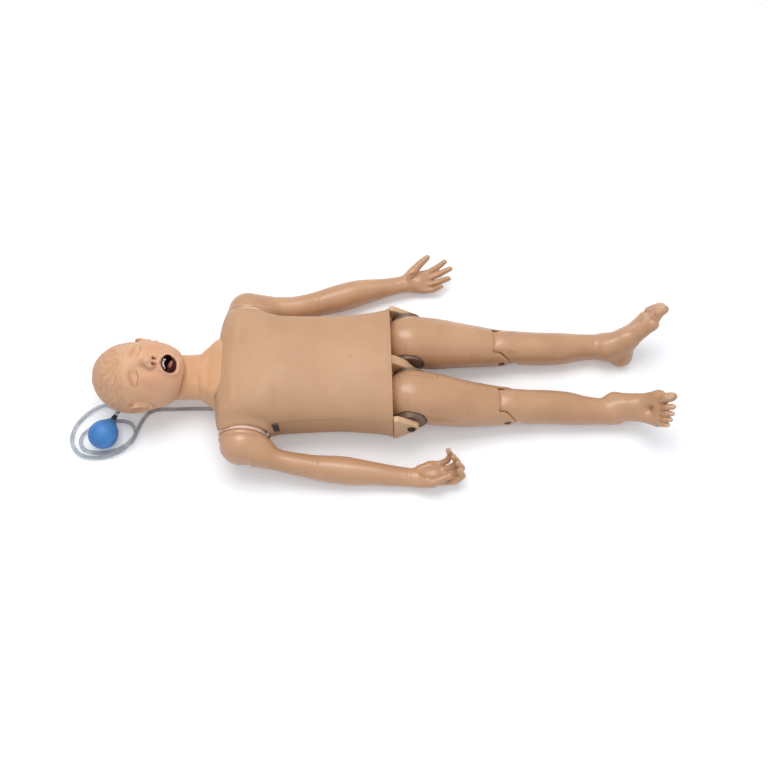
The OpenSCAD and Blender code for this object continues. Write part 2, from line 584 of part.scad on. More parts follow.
module pelvis() color([0.80, 0.63, 0.49]) moulding() difference() {
    union() {
        loft_rings([for (row = pelvis_rows) pelvis_ring(row)]);
        for (side = [-1, 1]) hull() {
            translate([hip_x, 0, hip_z]) side_rod(side, 15, flange_in, flange_out, 32);
            translate([hem_x + 0.5, side > 0 ? flange_in - 14 : -flange_in - 6, 32]) cube([4, 20, 86]);
        }
    }
    for (side = [-1, 1]) translate([hip_x, side * hip_y, hip_z]) scale([1, side, 1]) leg_room();
    translate([hip_x, 0, hip_z]) for (side = [-1, 1]) {
        side_rod(side, block_r + hip_gap, web_half, flange_in, 32);
        side_rod(side, hip_bolt_r + hole_gap, 1, flange_out + 1, 24);
    }
}

tongue_hip = 30.4;
module hip_blocks(side) color(block_colour) translate([hip_x, 0, hip_z]) difference() {
    union() {
        side_rod(side, block_r, web_half, hip_y - tongue_hip - seat_gap);
        side_rod(side, block_r, hip_y + tongue_hip + seat_gap, flange_in);
    }
    side_rod(side, hip_bolt_r + hole_gap, web_half - 1, flange_in + 1);
}
module bolt_head(r) union() {
    cylinder(r = r, h = r * 0.35, $fn = 48);
    translate([0, 0, r * 0.35]) cylinder(r1 = r, r2 = r * 0.6, h = r * 0.3, $fn = 48);
}
module hip_bolt(side) color(bolt_colour) translate([hip_x, 0, hip_z]) {
    side_rod(side, hip_bolt_r, 2, flange_out + 0.5);
    translate([0, side * flange_out, 0]) rotate([side * -90, 0, 0]) bolt_head(8);
}
module hip_bush(side) color([0.85, 0.84, 0.80]) translate([hip_x, 0, hip_z]) difference() {
    side_rod(side, hip_bolt_r + 4, hip_y - tongue_hip + 0.2, hip_y + tongue_hip - 0.2);
    side_rod(side, hip_bolt_r + bore_gap, 0, flange_in);
}

// Legs: both drift a little to the right as they lie
function drift(x) = -leg_drift * min(x - hip_x, 0.97 * (ankle_x - hip_x));
// Thigh rows: share of the thigh's length, offset from the straight line in y and z, radius
thigh_rows = [[0, 0, 0, 51.5], [0.28, 0, 0.8, 52], [0.5, 2, -0.3, 48.5], [0.75, 1.5, -0.6, 43.5],
    [0.95, 0.2, 0, 39.5], [1.1, 0, 3.5, 37.5]];
function thigh_line(side) = [for (row = thigh_rows) let (x = hip_x + row[0] * thigh_l)
    [x, side * (hip_y + (knee_y - hip_y) * min(1, row[0]) + row[1]) + drift(x),
        hip_z + (knee_z - hip_z) * row[0] + row[2], row[3], row[3]]];
function knee_mid(side) = side * knee_y + drift(knee_x);
slot_half = tongue_half + 1.2;
knee_gap = 1.5;
module knee_wedge() linear_extrude(4 * cut_size, center = true) union() {
    circle(r = ear_r, $fn = 28);
    intersection() {
        rotate(135) translate([-ear_r, -ear_r]) square(cut_size);
        translate([-cut_size, -cut_size / 2]) square([cut_size + ear_r * cos(45), cut_size]);
    }
}
module thigh(side) color(limb_colour) moulding() difference() {
    intersection() {
        union() {
            translate([hip_x, side * hip_y, hip_z]) sphere(r = thigh_r, $fn = 28);
            limb(thigh_line(side), 24, 2);
        }
        translate([knee_x, 0, knee_z]) rotate([90, 0, 0]) knee_wedge();
    }
    translate([hip_x, 0, hip_z]) {
        side_rod(side, block_r + 1.5, -10, hip_y - tongue_hip, 32);
        side_rod(side, block_r + 1.5, hip_y + tongue_hip, hip_y + 80, 32);
        side_rod(side, hip_bolt_r + 4 + hole_gap, 0, hip_y + 80, 32);
    }
    translate([knee_x, knee_mid(side), knee_z]) {
        rod_y(knee_r + knee_gap, -slot_half, slot_half, 32);
        translate([-knee_r - knee_gap, -slot_half, -cut_size]) cube([cut_size, 2 * slot_half, cut_size]);
        translate([0, -slot_half, -cut_size / 2]) cube([cut_size, 2 * slot_half, cut_size]);
        rod_y(knee_bolt_r + hole_gap, -60, 60, 24);
        for (end = [-1, 1]) side_rod(end, knee_bolt_r + 3.2, knee_ear_out, 80, 24);
    }
    if (side < 0) translate(pad_at) rotate(pad_turn) translate([0, 0, -pad_t / 2]) linear_extrude(40) pad_outline(seat_gap);
}

// Injection pad let into the inner side of the right thigh
pad_l = 78;
pad_w = 28;
pad_at = [hip_x + 16, -(hip_y - 34), hip_z + 33.5];
pad_turn = [-37, 7, 0];
module pad_outline(grow) hull() for (x = [-1, 1]) for (y = [-1, 1])
    translate([x * (pad_l / 2 - 5), y * (pad_w / 2 - 5)]) circle(r = 5 + grow, $fn = 32);
module thigh_pad() color(limb_colour) moulding() difference() {
    intersection() {
        translate(pad_at) rotate(pad_turn) translate([0, 0, -pad_t / 2 + seat_gap])
            linear_extrude(30) pad_outline(0);
        union() {
            translate([hip_x, -hip_y, hip_z]) sphere(r = thigh_r, $fn = 28);
            limb(thigh_line(-1), 24, 2);
        }
    }
    translate([hip_x, 0, hip_z]) side_rod(-1, block_r + 1.5, -10, hip_y - tongue_hip, 32);
}

knee_ear_out = 33;
module knee_bolt(side) color(bolt_colour) translate([knee_x, knee_mid(side), knee_z]) {
    rod_y(knee_bolt_r, -knee_ear_out, knee_ear_out);
    for (end = [-1, 1]) translate([0, end * (knee_ear_out + 0.01), 0]) rotate([end * -90, 0, 0])
        cylinder(r = knee_bolt_r + 3, h = 3.5, $fn = 48);
}
module knee_bush(side) color([0.85, 0.84, 0.80]) translate([knee_x, knee_mid(side), knee_z]) difference() {
    rod_y(knee_bolt_r + 3, -tongue_half + 0.2, tongue_half - 0.2);
    rod_y(knee_bolt_r + bore_gap, -40, 40);
}

// Lower leg rows: share of the shank's length, side offset, height, half width, half height
shank_rows = [[-0.02, 0, 45, 33, 36], [0.08, 1, 44, 33.5, 35.5], [0.23, 1, 42, 34, 34.5], [0.40, 0.5, 40, 34.5, 35.5],
    [0.61, 2.5, 37, 33.5, 33], [0.77, 6, 34.5, 29, 29.5], [0.93, 8, 33.5, 26.5, 27.5], [1.0, 8, 34, 27.5, 28],
    [1.05, 6.5, 36, 27, 28], [1.10, 5, 36, 24, 25]];
function shank_line(side) = [for (row = shank_rows) let (x = knee_x + row[0] * shank_l)
    [x, side * (knee_y + row[1]) + drift(x), row[2], row[3], row[4]]];
// Foot axes: along the sole, out of the instep and towards the other foot
foot_dir = [sin(foot_point), cos(foot_point) * sin(foot_out), cos(foot_point) * cos(foot_out)];
foot_up = unit([-1, 0, 0] + foot_dir[0] * foot_dir);
foot_in = cross(foot_dir, foot_up);
heel_r = 21;
heel_mid = [ankle_x + 47, knee_y - 10, heel_r + 0.4];
foot_from = heel_mid - heel_r * (foot_dir + foot_up);
function foot_at(p, q, r, side) = let (v = foot_from + foot_l / 165 * p * foot_dir + q * foot_up + r * foot_in)
    [v[0], side * v[1] + drift(v[0]), v[2]];
toe_roots = [[128, 12, 15], [130, 12, 1], [126, 11, -9], [120, 10, -17.5], [112, 9, -25]];
toe_tips = [[154, 11, 18], [153, 9, 2.5], [147, 8, -8.5], [139, 7, -18], [129, 7, -26.5]];
toe_r = [[11, 9.5], [7.2, 6], [6.8, 5.6], [6.4, 5.4], [6.4, 5.4]];
module foot(side) {
    hull() {
        translate(foot_at(21, 21, 0, side)) sphere(r = heel_r, $fn = 18);
        translate(foot_at(30, 58, -3, side)) sphere(r = 25, $fn = 16);
        translate(foot_at(62, 35, 0, side)) sphere(r = 20, $fn = 14);
    }
    hull() {
        translate(foot_at(45, 42, 0, side)) sphere(r = 23, $fn = 16);
        translate(foot_at(70, 27, 7, side)) sphere(r = 18, $fn = 13);
        translate(foot_at(118, 14, 17, side)) sphere(r = 13, $fn = 13);
        translate(foot_at(106, 11, -21, side)) sphere(r = 10, $fn = 13);
    }
    for (k = [0 : 4]) finger([foot_at(toe_roots[k][0] - 14, toe_roots[k][1] + 2, toe_roots[k][2] * 0.95, side),
        foot_at(toe_roots[k][0] + 6, toe_roots[k][1] + 1, toe_roots[k][2], side),
        foot_at(toe_tips[k][0], toe_tips[k][1], toe_tips[k][2], side)], toe_r[k][0], toe_r[k][1]);
}
module lower_leg(side) color(limb_colour) moulding() difference() {
    union() {
        difference() {
            limb(shank_line(side), 20, 1);
            translate([knee_x, 0, knee_z]) rotate([90, 0, 0]) linear_extrude(4 * cut_size, center = true) union() {
                circle(r = ear_r + knee_gap, $fn = 28);
                rotate(135) translate([-cut_size / 2, -ear_r - knee_gap]) square(cut_size);
            }
        }
        intersection() {
            union() {
                translate([knee_x, knee_mid(side), knee_z]) hull() {
                    rod_y(knee_r, -tongue_half + 7, tongue_half - 7, 32);
                    rod_y(knee_r - 5, -tongue_half, tongue_half, 32);
                }
                limb(shank_line(side), 20, 1);
            }
            translate([knee_x - 60, knee_mid(side) - tongue_half, 0]) cube([100, 2 * tongue_half, 120]);
        }
        foot(side);
    }
    translate([knee_x, knee_mid(side), knee_z]) rod_y(knee_bolt_r + 3 + hole_gap, -60, 60, 24);
    translate([-cut_size, -cut_size, -cut_size + 0.2]) cube([4 * cut_size, 2 * cut_size, cut_size]);
}

// Squeeze bulb: a ball drawn out to a short neck, lying on the floor
bulb_at = [-421, -103, bulb_r];
bulb_turn = 64;
neck_out = 35;
module along_bulb() translate(bulb_at) rotate([0, 0, bulb_turn]) rotate([0, 90, 0]) children();
module pulse_bulb() color([0.27, 0.50, 0.78]) along_bulb() rotate_extrude($fn = 72) polygon(concat(
    [[0, -bulb_r]], [for (a = [-75 : 15 : 30]) [bulb_r * cos(a), bulb_r * sin(a)]],
    [[bulb_r * 0.72, bulb_r * 0.74], [bulb_r * 0.48, bulb_r * 0.96], [bulb_r * 0.30, neck_out - 2],
        [bulb_r * 0.26, neck_out], [0, neck_out]]));
module bulb_connector() color(bolt_colour) along_bulb() translate([0, 0, neck_out]) union() {
    cylinder(r = connector_r, h = 7, $fn = 48);
    translate([0, 0, 7]) cylinder(r = connector_r - 1, h = 4, $fn = 48);
}

// Route of the clear tubing: out of the torso, under the side of the head, two loops
// round the bulb and down into its connector
function bulb_out(reach) = bulb_at + reach * [cos(bulb_turn), sin(bulb_turn), 0];
tube_route = [[top_x + 4.5, -42, 12], [-172, -42, 12], [-190, -42, 8], [-215, -41, 4.5], [-250, -40, 4.2], [-290, -40, 4.2],
    [-320, -40, 4.2], [-340, -46, 4.2], [-352, -62, 4.2], [-360, -82, 4.2], [-367, -100, 4.2], [-380, -116, 4.2],
    [-398, -127, 4.2], [-420, -132, 4.2], [-444, -132, 4.2], [-464, -125, 4.2], [-474, -110, 4.2], [-472, -94, 4.2],
    [-462, -82, 4.2], [-446, -73, 4.2], [-427, -67, 4.2], [-407, -64, 4.4], [-388, -66, 7], [-372, -75, 11],
    [-361, -92, 12.8], [-365, -110, 12.6], [-378, -124, 11], [-396, -135, 7], [-421, -142, 4.6], [-447, -143, 4.2],
    [-471, -136, 4.2], [-487, -119, 4.2], [-493, -99, 4.2], [-490, -77, 4.2], [-478, -56, 4.2], [-459, -38, 4.6],
    [-438, -29, 6], [-420, -33, 11], [-405, -43, 19], [-398, -52, 26]];
tube_rows = concat(smooth_rows(tube_route, 2), [bulb_out(neck_out + 14), bulb_out(neck_out + 11.2)]);
module pulse_tube() color([0.80, 0.82, 0.83])
    path_tube([for (p = tube_rows) concat(p, [tube_d / 2])], 8);

head();
mouth_lining();
upper_teeth();
tongue();
head_pin();
neck_swivel();
neck_post();
neck_skin();
chest_skin();
torso_shell();
chest_plate();
chest_spring();
spring_seat();
lung_bag();
side_strap(1);  // side_strap_left
side_strap(-1);  // side_strap_right
tube_grommet();
shoulder_ring(1);  // shoulder_ring_left
shoulder_ring(-1);  // shoulder_ring_right
shoulder_bolt(1);  // shoulder_bolt_left
shoulder_bolt(-1);  // shoulder_bolt_right
arm(1);  // arm_left
arm(-1);  // arm_right
pelvis();
hip_blocks(1);  // hip_blocks_left
hip_blocks(-1);  // hip_blocks_right
hip_bolt(1);  // hip_bolt_left
hip_bolt(-1);  // hip_bolt_right
hip_bush(1);  // hip_bush_left
hip_bush(-1);  // hip_bush_right
thigh(1);  // thigh_left
thigh(-1);  // thigh_right
thigh_pad();
knee_bolt(1);  // knee_bolt_left
knee_bolt(-1);  // knee_bolt_right
knee_bush(1);  // knee_bush_left
knee_bush(-1);  // knee_bush_right
lower_leg(1);  // lower_leg_left
lower_leg(-1);  // lower_leg_right
pulse_bulb();
bulb_connector();
pulse_tube();
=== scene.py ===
import math

import bpy
import numpy as np
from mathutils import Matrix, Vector


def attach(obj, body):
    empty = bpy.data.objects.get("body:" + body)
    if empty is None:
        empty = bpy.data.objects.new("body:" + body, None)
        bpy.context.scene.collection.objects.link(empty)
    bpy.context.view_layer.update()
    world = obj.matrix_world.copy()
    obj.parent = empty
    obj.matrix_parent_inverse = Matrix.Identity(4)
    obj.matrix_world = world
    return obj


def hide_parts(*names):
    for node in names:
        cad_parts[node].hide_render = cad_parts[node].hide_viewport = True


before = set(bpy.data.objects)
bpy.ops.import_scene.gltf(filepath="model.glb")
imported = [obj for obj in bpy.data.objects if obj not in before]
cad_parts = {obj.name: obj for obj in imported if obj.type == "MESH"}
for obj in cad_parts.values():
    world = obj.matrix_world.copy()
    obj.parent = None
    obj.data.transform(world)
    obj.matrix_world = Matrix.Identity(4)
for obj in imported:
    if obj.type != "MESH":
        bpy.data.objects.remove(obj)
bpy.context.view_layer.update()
scene = bpy.context.scene
scene.view_settings.view_transform = "Standard"

# All shapes are modelled in the part's own millimetres and scaled to metres as meshes
MM = 0.001
SIDE_NAME = {1: "left", -1: "right"}


def degrees(angle):
    return math.radians(angle)


# Camera: above the manikin's right side, looking down on it
CAMERA_AZIMUTH = degrees(-1.675)
CAMERA_ELEVATION = degrees(64)
CAMERA_DISTANCE = 1.5137
CAMERA_TARGET = Vector((0.150, -0.0251, 0.080))
FOCAL_PIXELS = 750
PICTURE_WIDTH = 768
SENSOR_WIDTH = 36

camera_back = Vector((
    math.sin(CAMERA_AZIMUTH) * math.cos(CAMERA_ELEVATION),
    -math.cos(CAMERA_AZIMUTH) * math.cos(CAMERA_ELEVATION),
    math.sin(CAMERA_ELEVATION)))
camera = bpy.data.objects.new("camera", bpy.data.cameras.new("camera"))
camera.data.sensor_width = SENSOR_WIDTH
camera.data.sensor_fit = "HORIZONTAL"
camera.data.lens = SENSOR_WIDTH * FOCAL_PIXELS / PICTURE_WIDTH
camera.location = CAMERA_TARGET + camera_back * CAMERA_DISTANCE
camera.rotation_mode = "QUATERNION"
camera.rotation_quaternion = (-camera_back).to_track_quat("-Z", "Y")
scene.collection.objects.link(camera)
scene.camera = camera


def smooth(rows, steps):
    """Smooth curve through rows of numbers, with steps points from each row to the next."""
    rows = np.array(rows, float)
    last = len(rows) - 1
    out = []
    for i in range(last):
        a = rows[max(i - 1, 0)]
        b = rows[i]
        c = rows[i + 1]
        d = rows[min(i + 2, last)]
        for k in range(steps):
            t = k / steps
            out.append(0.5 * (2 * b + (c - a) * t + (2 * a - 5 * b + 4 * c - d) * t * t
                              + (3 * b - a - 3 * c + d) * t ** 3))
    out.append(rows[last])
    return np.array(out)


def tone(red, green, blue):
    """A colour given as 0 to 255, as the linear colour that shaders take."""
    out = []
    for value in (red, green, blue):
        v = value / 255
        out.append(v / 12.92 if v <= 0.04045 else ((v + 0.055) / 1.055) ** 2.4)
    return (*out, 1)


# Materials. Each finish varies over the piece in colour, roughness and fine relief.
class Shader:
    """The node tree of a material or a world, built up node by node."""

    def __init__(self, owner):
        owner.use_nodes = True
        self.owner = owner
        self.tree = owner.node_tree
        self.tree.nodes.clear()

    def node(self, kind, inputs=None, **settings):
        made = self.tree.nodes.new(kind)
        for key, value in settings.items():
            setattr(made, key, value)
        for key, value in (inputs or {}).items():
            if isinstance(value, bpy.types.NodeSocket):
                self.tree.links.new(value, made.inputs[key])
            else:
                made.inputs[key].default_value = value
        return made

    def noise(self, scale, detail=3, roughness=0.5):
        place = self.node("ShaderNodeTexCoord").outputs["Object"]
        made = self.node("ShaderNodeTexNoise", {
            "Vector": place, "Scale": scale, "Detail": detail, "Roughness": roughness})
        return made.outputs["Fac"]

    def span(self, value, low, high, out_low=0, out_high=1):
        made = self.node("ShaderNodeMapRange", {
            "Value": value, "From Min": low, "From Max": high, "To Min": out_low, "To Max": out_high})
        return made.outputs["Result"]

    def mix(self, share, first, second):
        made = self.node("ShaderNodeMix", data_type="RGBA")
        for socket, value in ((0, share), (6, first), (7, second)):
            if isinstance(value, bpy.types.NodeSocket):
                self.tree.links.new(value, made.inputs[socket])
            else:
                made.inputs[socket].default_value = value
        return made.outputs[2]

    def mark(self, name):
        return self.node("ShaderNodeAttribute", attribute_name=name).outputs["Fac"]

    def times(self, value, factor):
        return self.node("ShaderNodeMath", {0: value, 1: factor}, operation="MULTIPLY").outputs[0]


def finish(name, dark, light, rough=(0.4, 0.5), patch=14, grain=900, relief=0.03, marks=(), **fixed):
    """A surface that varies between two colours, with its roughness, grain and fixed values."""
    s = Shader(bpy.data.materials.new(name))
    colour = s.mix(s.span(s.noise(patch, 4), 0.35, 0.65), dark, light)
    for mark_name, mark_colour, strength in marks:
        colour = s.mix(s.times(s.mark(mark_name), strength), colour, mark_colour)
    fine = s.noise(grain, 2)
    bump = s.node("ShaderNodeBump", {"Height": fine, "Strength": relief, "Distance": 0.001})
    body = s.node("ShaderNodeBsdfPrincipled", {
        "Base Color": colour,
        "Roughness": s.span(s.noise(patch * 5, 3), 0.3, 0.7, *rough),
        "Normal": bump.outputs["Normal"]})
    for key, value in fixed.items():
        body.inputs[key.replace("_", " ")].default_value = value
    s.node("ShaderNodeOutputMaterial", {"Surface": body.outputs["BSDF"]})
    return s.owner


SKIN_DEPTH = {"Subsurface_Weight": 0.12, "Subsurface_Radius": (0.004, 0.002, 0.001), "Subsurface_Scale": 1}
# In the face's marks, the crease mark is painted shade in the nostrils and along the lid grooves, and the
# hair mark is the hair's tone with painted shade between the locks
face_finish = finish(
    "face skin", tone(209, 160, 122), tone(219, 172, 135), (0.44, 0.56), 16, 1400, 0.05,
    [("lip", tone(226, 172, 148), 0.8), ("blush", tone(214, 146, 114), 0.5),
     ("hair_tone_and_lock_shade", tone(184, 134, 98), 0.5), ("crease", tone(120, 62, 44), 0.8)], **SKIN_DEPTH)
# The neck's crease mark is a painted shadow under the jaw and painted shade along the collar's edge
neck_finish = finish(
    "neck skin", tone(214, 162, 120), tone(224, 174, 134), (0.42, 0.54), 14, 1400, 0.05,
    [("crease", tone(158, 94, 58), 0.75)], **SKIN_DEPTH)
# The chest's crease mark is painted shade along the side seam, at the armholes' edges and in the navel and
# breastbone dimples, with the nipples' own colour
chest_finish = finish(
    "chest skin", tone(187, 145, 110), tone(195, 153, 118), (0.5, 0.62), 9, 1300, 0.05,
    [("crease", tone(160, 108, 74), 0.5)], **SKIN_DEPTH)
limb_finish = finish(
    "limb plastic", tone(186, 141, 105), tone(198, 153, 117), (0.27, 0.38), 11, 900, 0.03,
    [("nail", tone(228, 186, 156), 0.6)],
    Coat_Weight=0.25, Coat_Roughness=0.18, **SKIN_DEPTH)
torso_finish = finish(
    "torso plastic", tone(206, 166, 128), tone(214, 176, 138), (0.42, 0.55), 12, 700, 0.03)
ring_finish = finish("ring plastic", tone(222, 184, 160), tone(232, 198, 174), (0.35, 0.45), 30, 900, 0.02)
mouth_finish = finish(
    "mouth lining red", tone(44, 8, 8), tone(72, 16, 15), (0.45, 0.6), 60, 700, 0.05,
    Specular_IOR_Level=0.12)
tooth_finish = finish("tooth white", tone(232, 226, 212), tone(245, 241, 232), (0.2, 0.3), 120, 600, 0.02)
tongue_finish = finish("tongue pink", tone(196, 112, 108), tone(216, 140, 134), (0.32, 0.45), 90, 900, 0.12)
white_finish = finish("white plastic", tone(226, 226, 220), tone(236, 236, 232), (0.4, 0.5), 20, 900, 0.02)
dark_finish = finish("dark plastic", tone(52, 50, 50), tone(70, 68, 66), (0.45, 0.6), 30, 900, 0.03)
rubber_finish = finish("black rubber", tone(24, 23, 23), tone(38, 37, 36), (0.5, 0.65), 50, 1500, 0.05)
# The bulb's crease mark is a darker blue line along its moulding seam
blue_finish = finish(
    "blue rubber", tone(56, 116, 184), tone(72, 136, 204), (0.44, 0.56), 30, 1500, 0.05,
    [("crease", tone(40, 92, 156), 0.7)])
hip_finish = finish("hip brown", tone(104, 82, 66), tone(122, 98, 80), (0.4, 0.52), 40, 700, 0.04)
bolt_finish = finish(
    "dark bolt", tone(46, 38, 33), tone(66, 56, 50), (0.3, 0.45), 90, 900, 0.03, Metallic=0.6)
steel_finish = finish(
    "steel", tone(160, 162, 165), tone(186, 188, 190), (0.2, 0.35), 60, 1800, 0.03, Metallic=1)
spring_finish = finish(
    "spring steel", tone(120, 122, 126), tone(150, 152, 156), (0.25, 0.4), 60, 1200, 0.03, Metallic=1)
bag_finish = finish(
    "bag film", tone(214, 220, 224), tone(230, 234, 236), (0.25, 0.4), 40, 400, 0.1,
    Transmission_Weight=0.5)
tube_finish = finish(
    "clear tubing", tone(214, 217, 220), tone(236, 238, 240), (0.08, 0.16), 60, 300, 0.02,
    Transmission_Weight=0.88, IOR=1.22)


# Clear tubing: out of the torso, under the side of the head, twice round the bulb, and
# down into the bulb's connector. The route is the part's own, in its millimetres.
TOP_X = -165
BULB_AT = np.array([-421.0, -103.0, 29.0])
BULB_TURN = degrees(64)
BULB_NECK = 35
TUBE_DIAMETER = 8
bulb_axis = np.array([math.cos(BULB_TURN), math.sin(BULB_TURN), 0])
tube_route = [
    [TOP_X + 4.5, -42, 12], [-172, -42, 12], [-190, -42, 8], [-215, -41, 4.5], [-250, -40, 4.2],
    [-290, -40, 4.2], [-320, -40, 4.2], [-340, -46, 4.2], [-352, -62, 4.2], [-360, -82, 4.2],
    [-367, -100, 4.2], [-380, -116, 4.2], [-398, -127, 4.2], [-420, -132, 4.2], [-444, -132, 4.2],
    [-464, -125, 4.2], [-474, -110, 4.2], [-472, -94, 4.2], [-462, -82, 4.2], [-446, -73, 4.2],
    [-427, -67, 4.2], [-407, -64, 4.4], [-388, -66, 7], [-372, -75, 11], [-361, -92, 12.8],
    [-365, -110, 12.6], [-378, -124, 11], [-396, -135, 7], [-421, -142, 4.6], [-447, -143, 4.2],
    [-471, -136, 4.2], [-487, -119, 4.2], [-493, -99, 4.2], [-490, -77, 4.2], [-478, -56, 4.2],
    [-459, -38, 4.6], [-438, -29, 6], [-420, -33, 11], [-405, -43, 19], [-398, -52, 26]]
tube_end = [BULB_AT + bulb_axis * (BULB_NECK + 14), BULB_AT + bulb_axis * (BULB_NECK + 11.2)]
tube_line = np.vstack([smooth(tube_route, 6), tube_end]) * MM
tube_curve = bpy.data.curves.new("tube", "CURVE")
tube_curve.dimensions = "3D"
tube_curve.bevel_depth = TUBE_DIAMETER / 2 * MM
tube_curve.bevel_resolution = 6
tube_curve.use_fill_caps = True
tube_spline = tube_curve.splines.new("POLY")
tube_spline.points.add(len(tube_line) - 1)
for tube_point, here in zip(tube_spline.points, tube_line):
    tube_point.co = (*here, 1)
tube_curve.materials.append(tube_finish)
tube = bpy.data.objects.new("tube", tube_curve)
scene.collection.objects.link(tube)
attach(tube, "torso")
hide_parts("pulse_tube")


def make(name, points, faces, body, nodes, surface, marks=None):
    """A smooth mesh from points in millimetres, riding on a body in place of CAD nodes."""
    mesh = bpy.data.meshes.new(name)
    if isinstance(faces, np.ndarray):
        sides = faces.shape[1]
        mesh.vertices.add(len(points))
        mesh.loops.add(faces.size)
        mesh.loops.foreach_set("vertex_index", faces.astype(np.int32).ravel())
        mesh.polygons.add(len(faces))
        mesh.polygons.foreach_set("loop_start", np.arange(0, faces.size, sides, dtype=np.int32))
        mesh.vertices.foreach_set("co", (points * MM).astype(np.float32).ravel())
        mesh.update(calc_edges=True)
    else:
        mesh.from_pydata((points * MM).tolist(), [], faces)
    mesh.validate()
    mesh.shade_smooth()
    for mark_name, values in (marks or {}).items():
        mark = mesh.attributes.new(mark_name, "FLOAT", "POINT")
        mark.data.foreach_set("value", np.clip(values, 0, 1).astype(np.float32))
    mesh.materials.append(surface)
    made = bpy.data.objects.new(name, mesh)
    scene.collection.objects.link(made)
    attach(made, body)
    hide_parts(*nodes)
    return made


def soft_min(a, b, k):
    h = np.maximum(k - np.abs(a - b), 0) / k
    return np.minimum(a, b) - h * h * k * 0.25


def soft_max(a, b, k):
    return -soft_min(-a, -b, k)


def relax(points, faces, share):
    """Moves each point towards the middle of its neighbours."""
    total = np.zeros_like(points)
    count = np.zeros(len(points))
    for k in range(4):
        a = faces[:, k]
        b = faces[:, (k + 1) % 4]
        for here, there in ((a, b), (b, a)):
            count += np.bincount(here, minlength=len(points))
            for axis in range(3):
                total[:, axis] += np.bincount(here, points[there, axis], minlength=len(points))
    return points + share * (total / np.maximum(count, 1)[:, None] - points)


class Clay:
    """Signed distances on a grid, in millimetres and below zero inside, that forms are added to."""

    def __init__(self, low, high, cell):
        self.cell = cell
        self.axes = [np.arange(low[k], high[k] + cell, cell, dtype=np.float32) for k in range(3)]
        self.field = np.full([len(a) for a in self.axes], 1e3, np.float32)

    def region(self, low, high):
        cuts = []
        for k in range(3):
            start = int(np.searchsorted(self.axes[k], low[k])) - 1
            stop = int(np.searchsorted(self.axes[k], high[k])) + 1
            cuts.append(slice(max(start, 0), max(stop, 0)))
        here = [self.axes[k][cuts[k]] for k in range(3)]
        return tuple(cuts), np.meshgrid(*here, indexing="ij", sparse=True)

    def change(self, form, k, how):
        distance, low, high = form
        room = k + 2 * self.cell
        cuts, places = self.region(np.array(low) - room, np.array(high) + room)
        if self.field[cuts].size:
            self.field[cuts] = how(self.field[cuts], distance(*places).astype(np.float32), k)

    def add(self, form, k=0.5):
        self.change(form, k, soft_min)

    def cut(self, form, k=0.5):
        self.change(form, k, lambda field, d, blend: soft_max(field, -d, blend))

    def keep(self, distance, k=0.5):
        places = np.meshgrid(*self.axes, indexing="ij", sparse=True)
        self.field = soft_max(self.field, distance(*places).astype(np.float32), k)

    def top(self, x, y):
        """Height of the surface over a place, going down from above."""
        i = int(np.clip(round((x - self.axes[0][0]) / self.cell), 0, len(self.axes[0]) - 1))
        j = int(np.clip(round((y - self.axes[1][0]) / self.cell), 0, len(self.axes[1]) - 1))
        column = self.field[i, j]
        inside = np.nonzero(column < 0)[0]
        if not len(inside) or inside[-1] + 1 >= len(column):
            return float(self.axes[2][0])
        k = inside[-1]
        share = column[k] / (column[k] - column[k + 1])
        return float(self.axes[2][k] + share * self.cell)

    def surface(self, passes=1):
        """Points and four-sided faces of the surface where the distance is nothing."""
        f = self.field
        inside = f < 0
        size = np.array(f.shape) - 1
        total = np.zeros(size, np.int8)
        for dx in (0, 1):
            for dy in (0, 1):
                for dz in (0, 1):
                    total += inside[dx:dx + size[0], dy:dy + size[1], dz:dz + size[2]]
        cells = np.array(np.nonzero((total > 0) & (total < 8)))
        number = np.full(size, -1, np.int64)
        number[tuple(cells)] = np.arange(cells.shape[1])
        place = np.zeros((3, cells.shape[1]))
        count = np.zeros(cells.shape[1])
        for axis in range(3):
            u, v = (axis + 1) % 3, (axis + 2) % 3
            for du in (0, 1):
                for dv in (0, 1):
                    start = cells.copy()
                    start[u] += du
                    start[v] += dv
                    stop = start.copy()
                    stop[axis] += 1
                    a = f[tuple(start)]
                    b = f[tuple(stop)]
                    crossed = (a < 0) != (b < 0)
                    t = np.where(crossed, a / np.where(crossed, a - b, 1), 0)
                    spot = start.astype(float)
                    spot[axis] += t
                    place += np.where(crossed, spot, 0)
                    count += crossed
        low = np.array([a[0] for a in self.axes])
        points = (place / count).T * self.cell + low
        faces = []
        for axis in range(3):
            u, v = (axis + 1) % 3, (axis + 2) % 3
            here = [slice(None)] * 3
            there = [slice(None)] * 3
            here[axis] = slice(0, size[axis])
            there[axis] = slice(1, size[axis] + 1)
            change = inside[tuple(here)] != inside[tuple(there)]
            p = np.array(np.nonzero(change))
            p = p[:, (p[u] > 0) & (p[v] > 0) & (p[u] < size[u]) & (p[v] < size[v])]
            corners = []
            for du, dv in ((1, 1), (0, 1), (0, 0), (1, 0)):
                q = p.copy()
                q[u] -= du
                q[v] -= dv
                corners.append(number[tuple(q)])
            quads = np.stack(corners, 1)
            outward = inside[tuple(p)]
            faces.append(np.where(outward[:, None], quads, quads[:, ::-1]))
        faces = np.vstack(faces)
        for _ in range(passes):
            points = relax(points, faces, 0.5)
        return points, faces


def cast(clay, name, body, nodes, surface, place=None):
    """The clay's surface as a piece, moved by place where that is given."""
    points, faces = clay.surface()
    make(name, place(points) if place else points, faces, body, nodes, surface)


def loft_faces(rings, sides):
    """Four-sided faces between rings of points."""
    i, j = np.meshgrid(np.arange(rings - 1), np.arange(sides), indexing="ij")
    k = (j + 1) % sides
    corners = [i * sides + j, (i + 1) * sides + j, (i + 1) * sides + k, i * sides + k]
    return np.stack(corners, -1).reshape(-1, 4)


# Forms: each is a distance with the corners of its box
def around(points, radius):
    points = np.array(points, float)
    return points.min(0) - radius, points.max(0) + radius


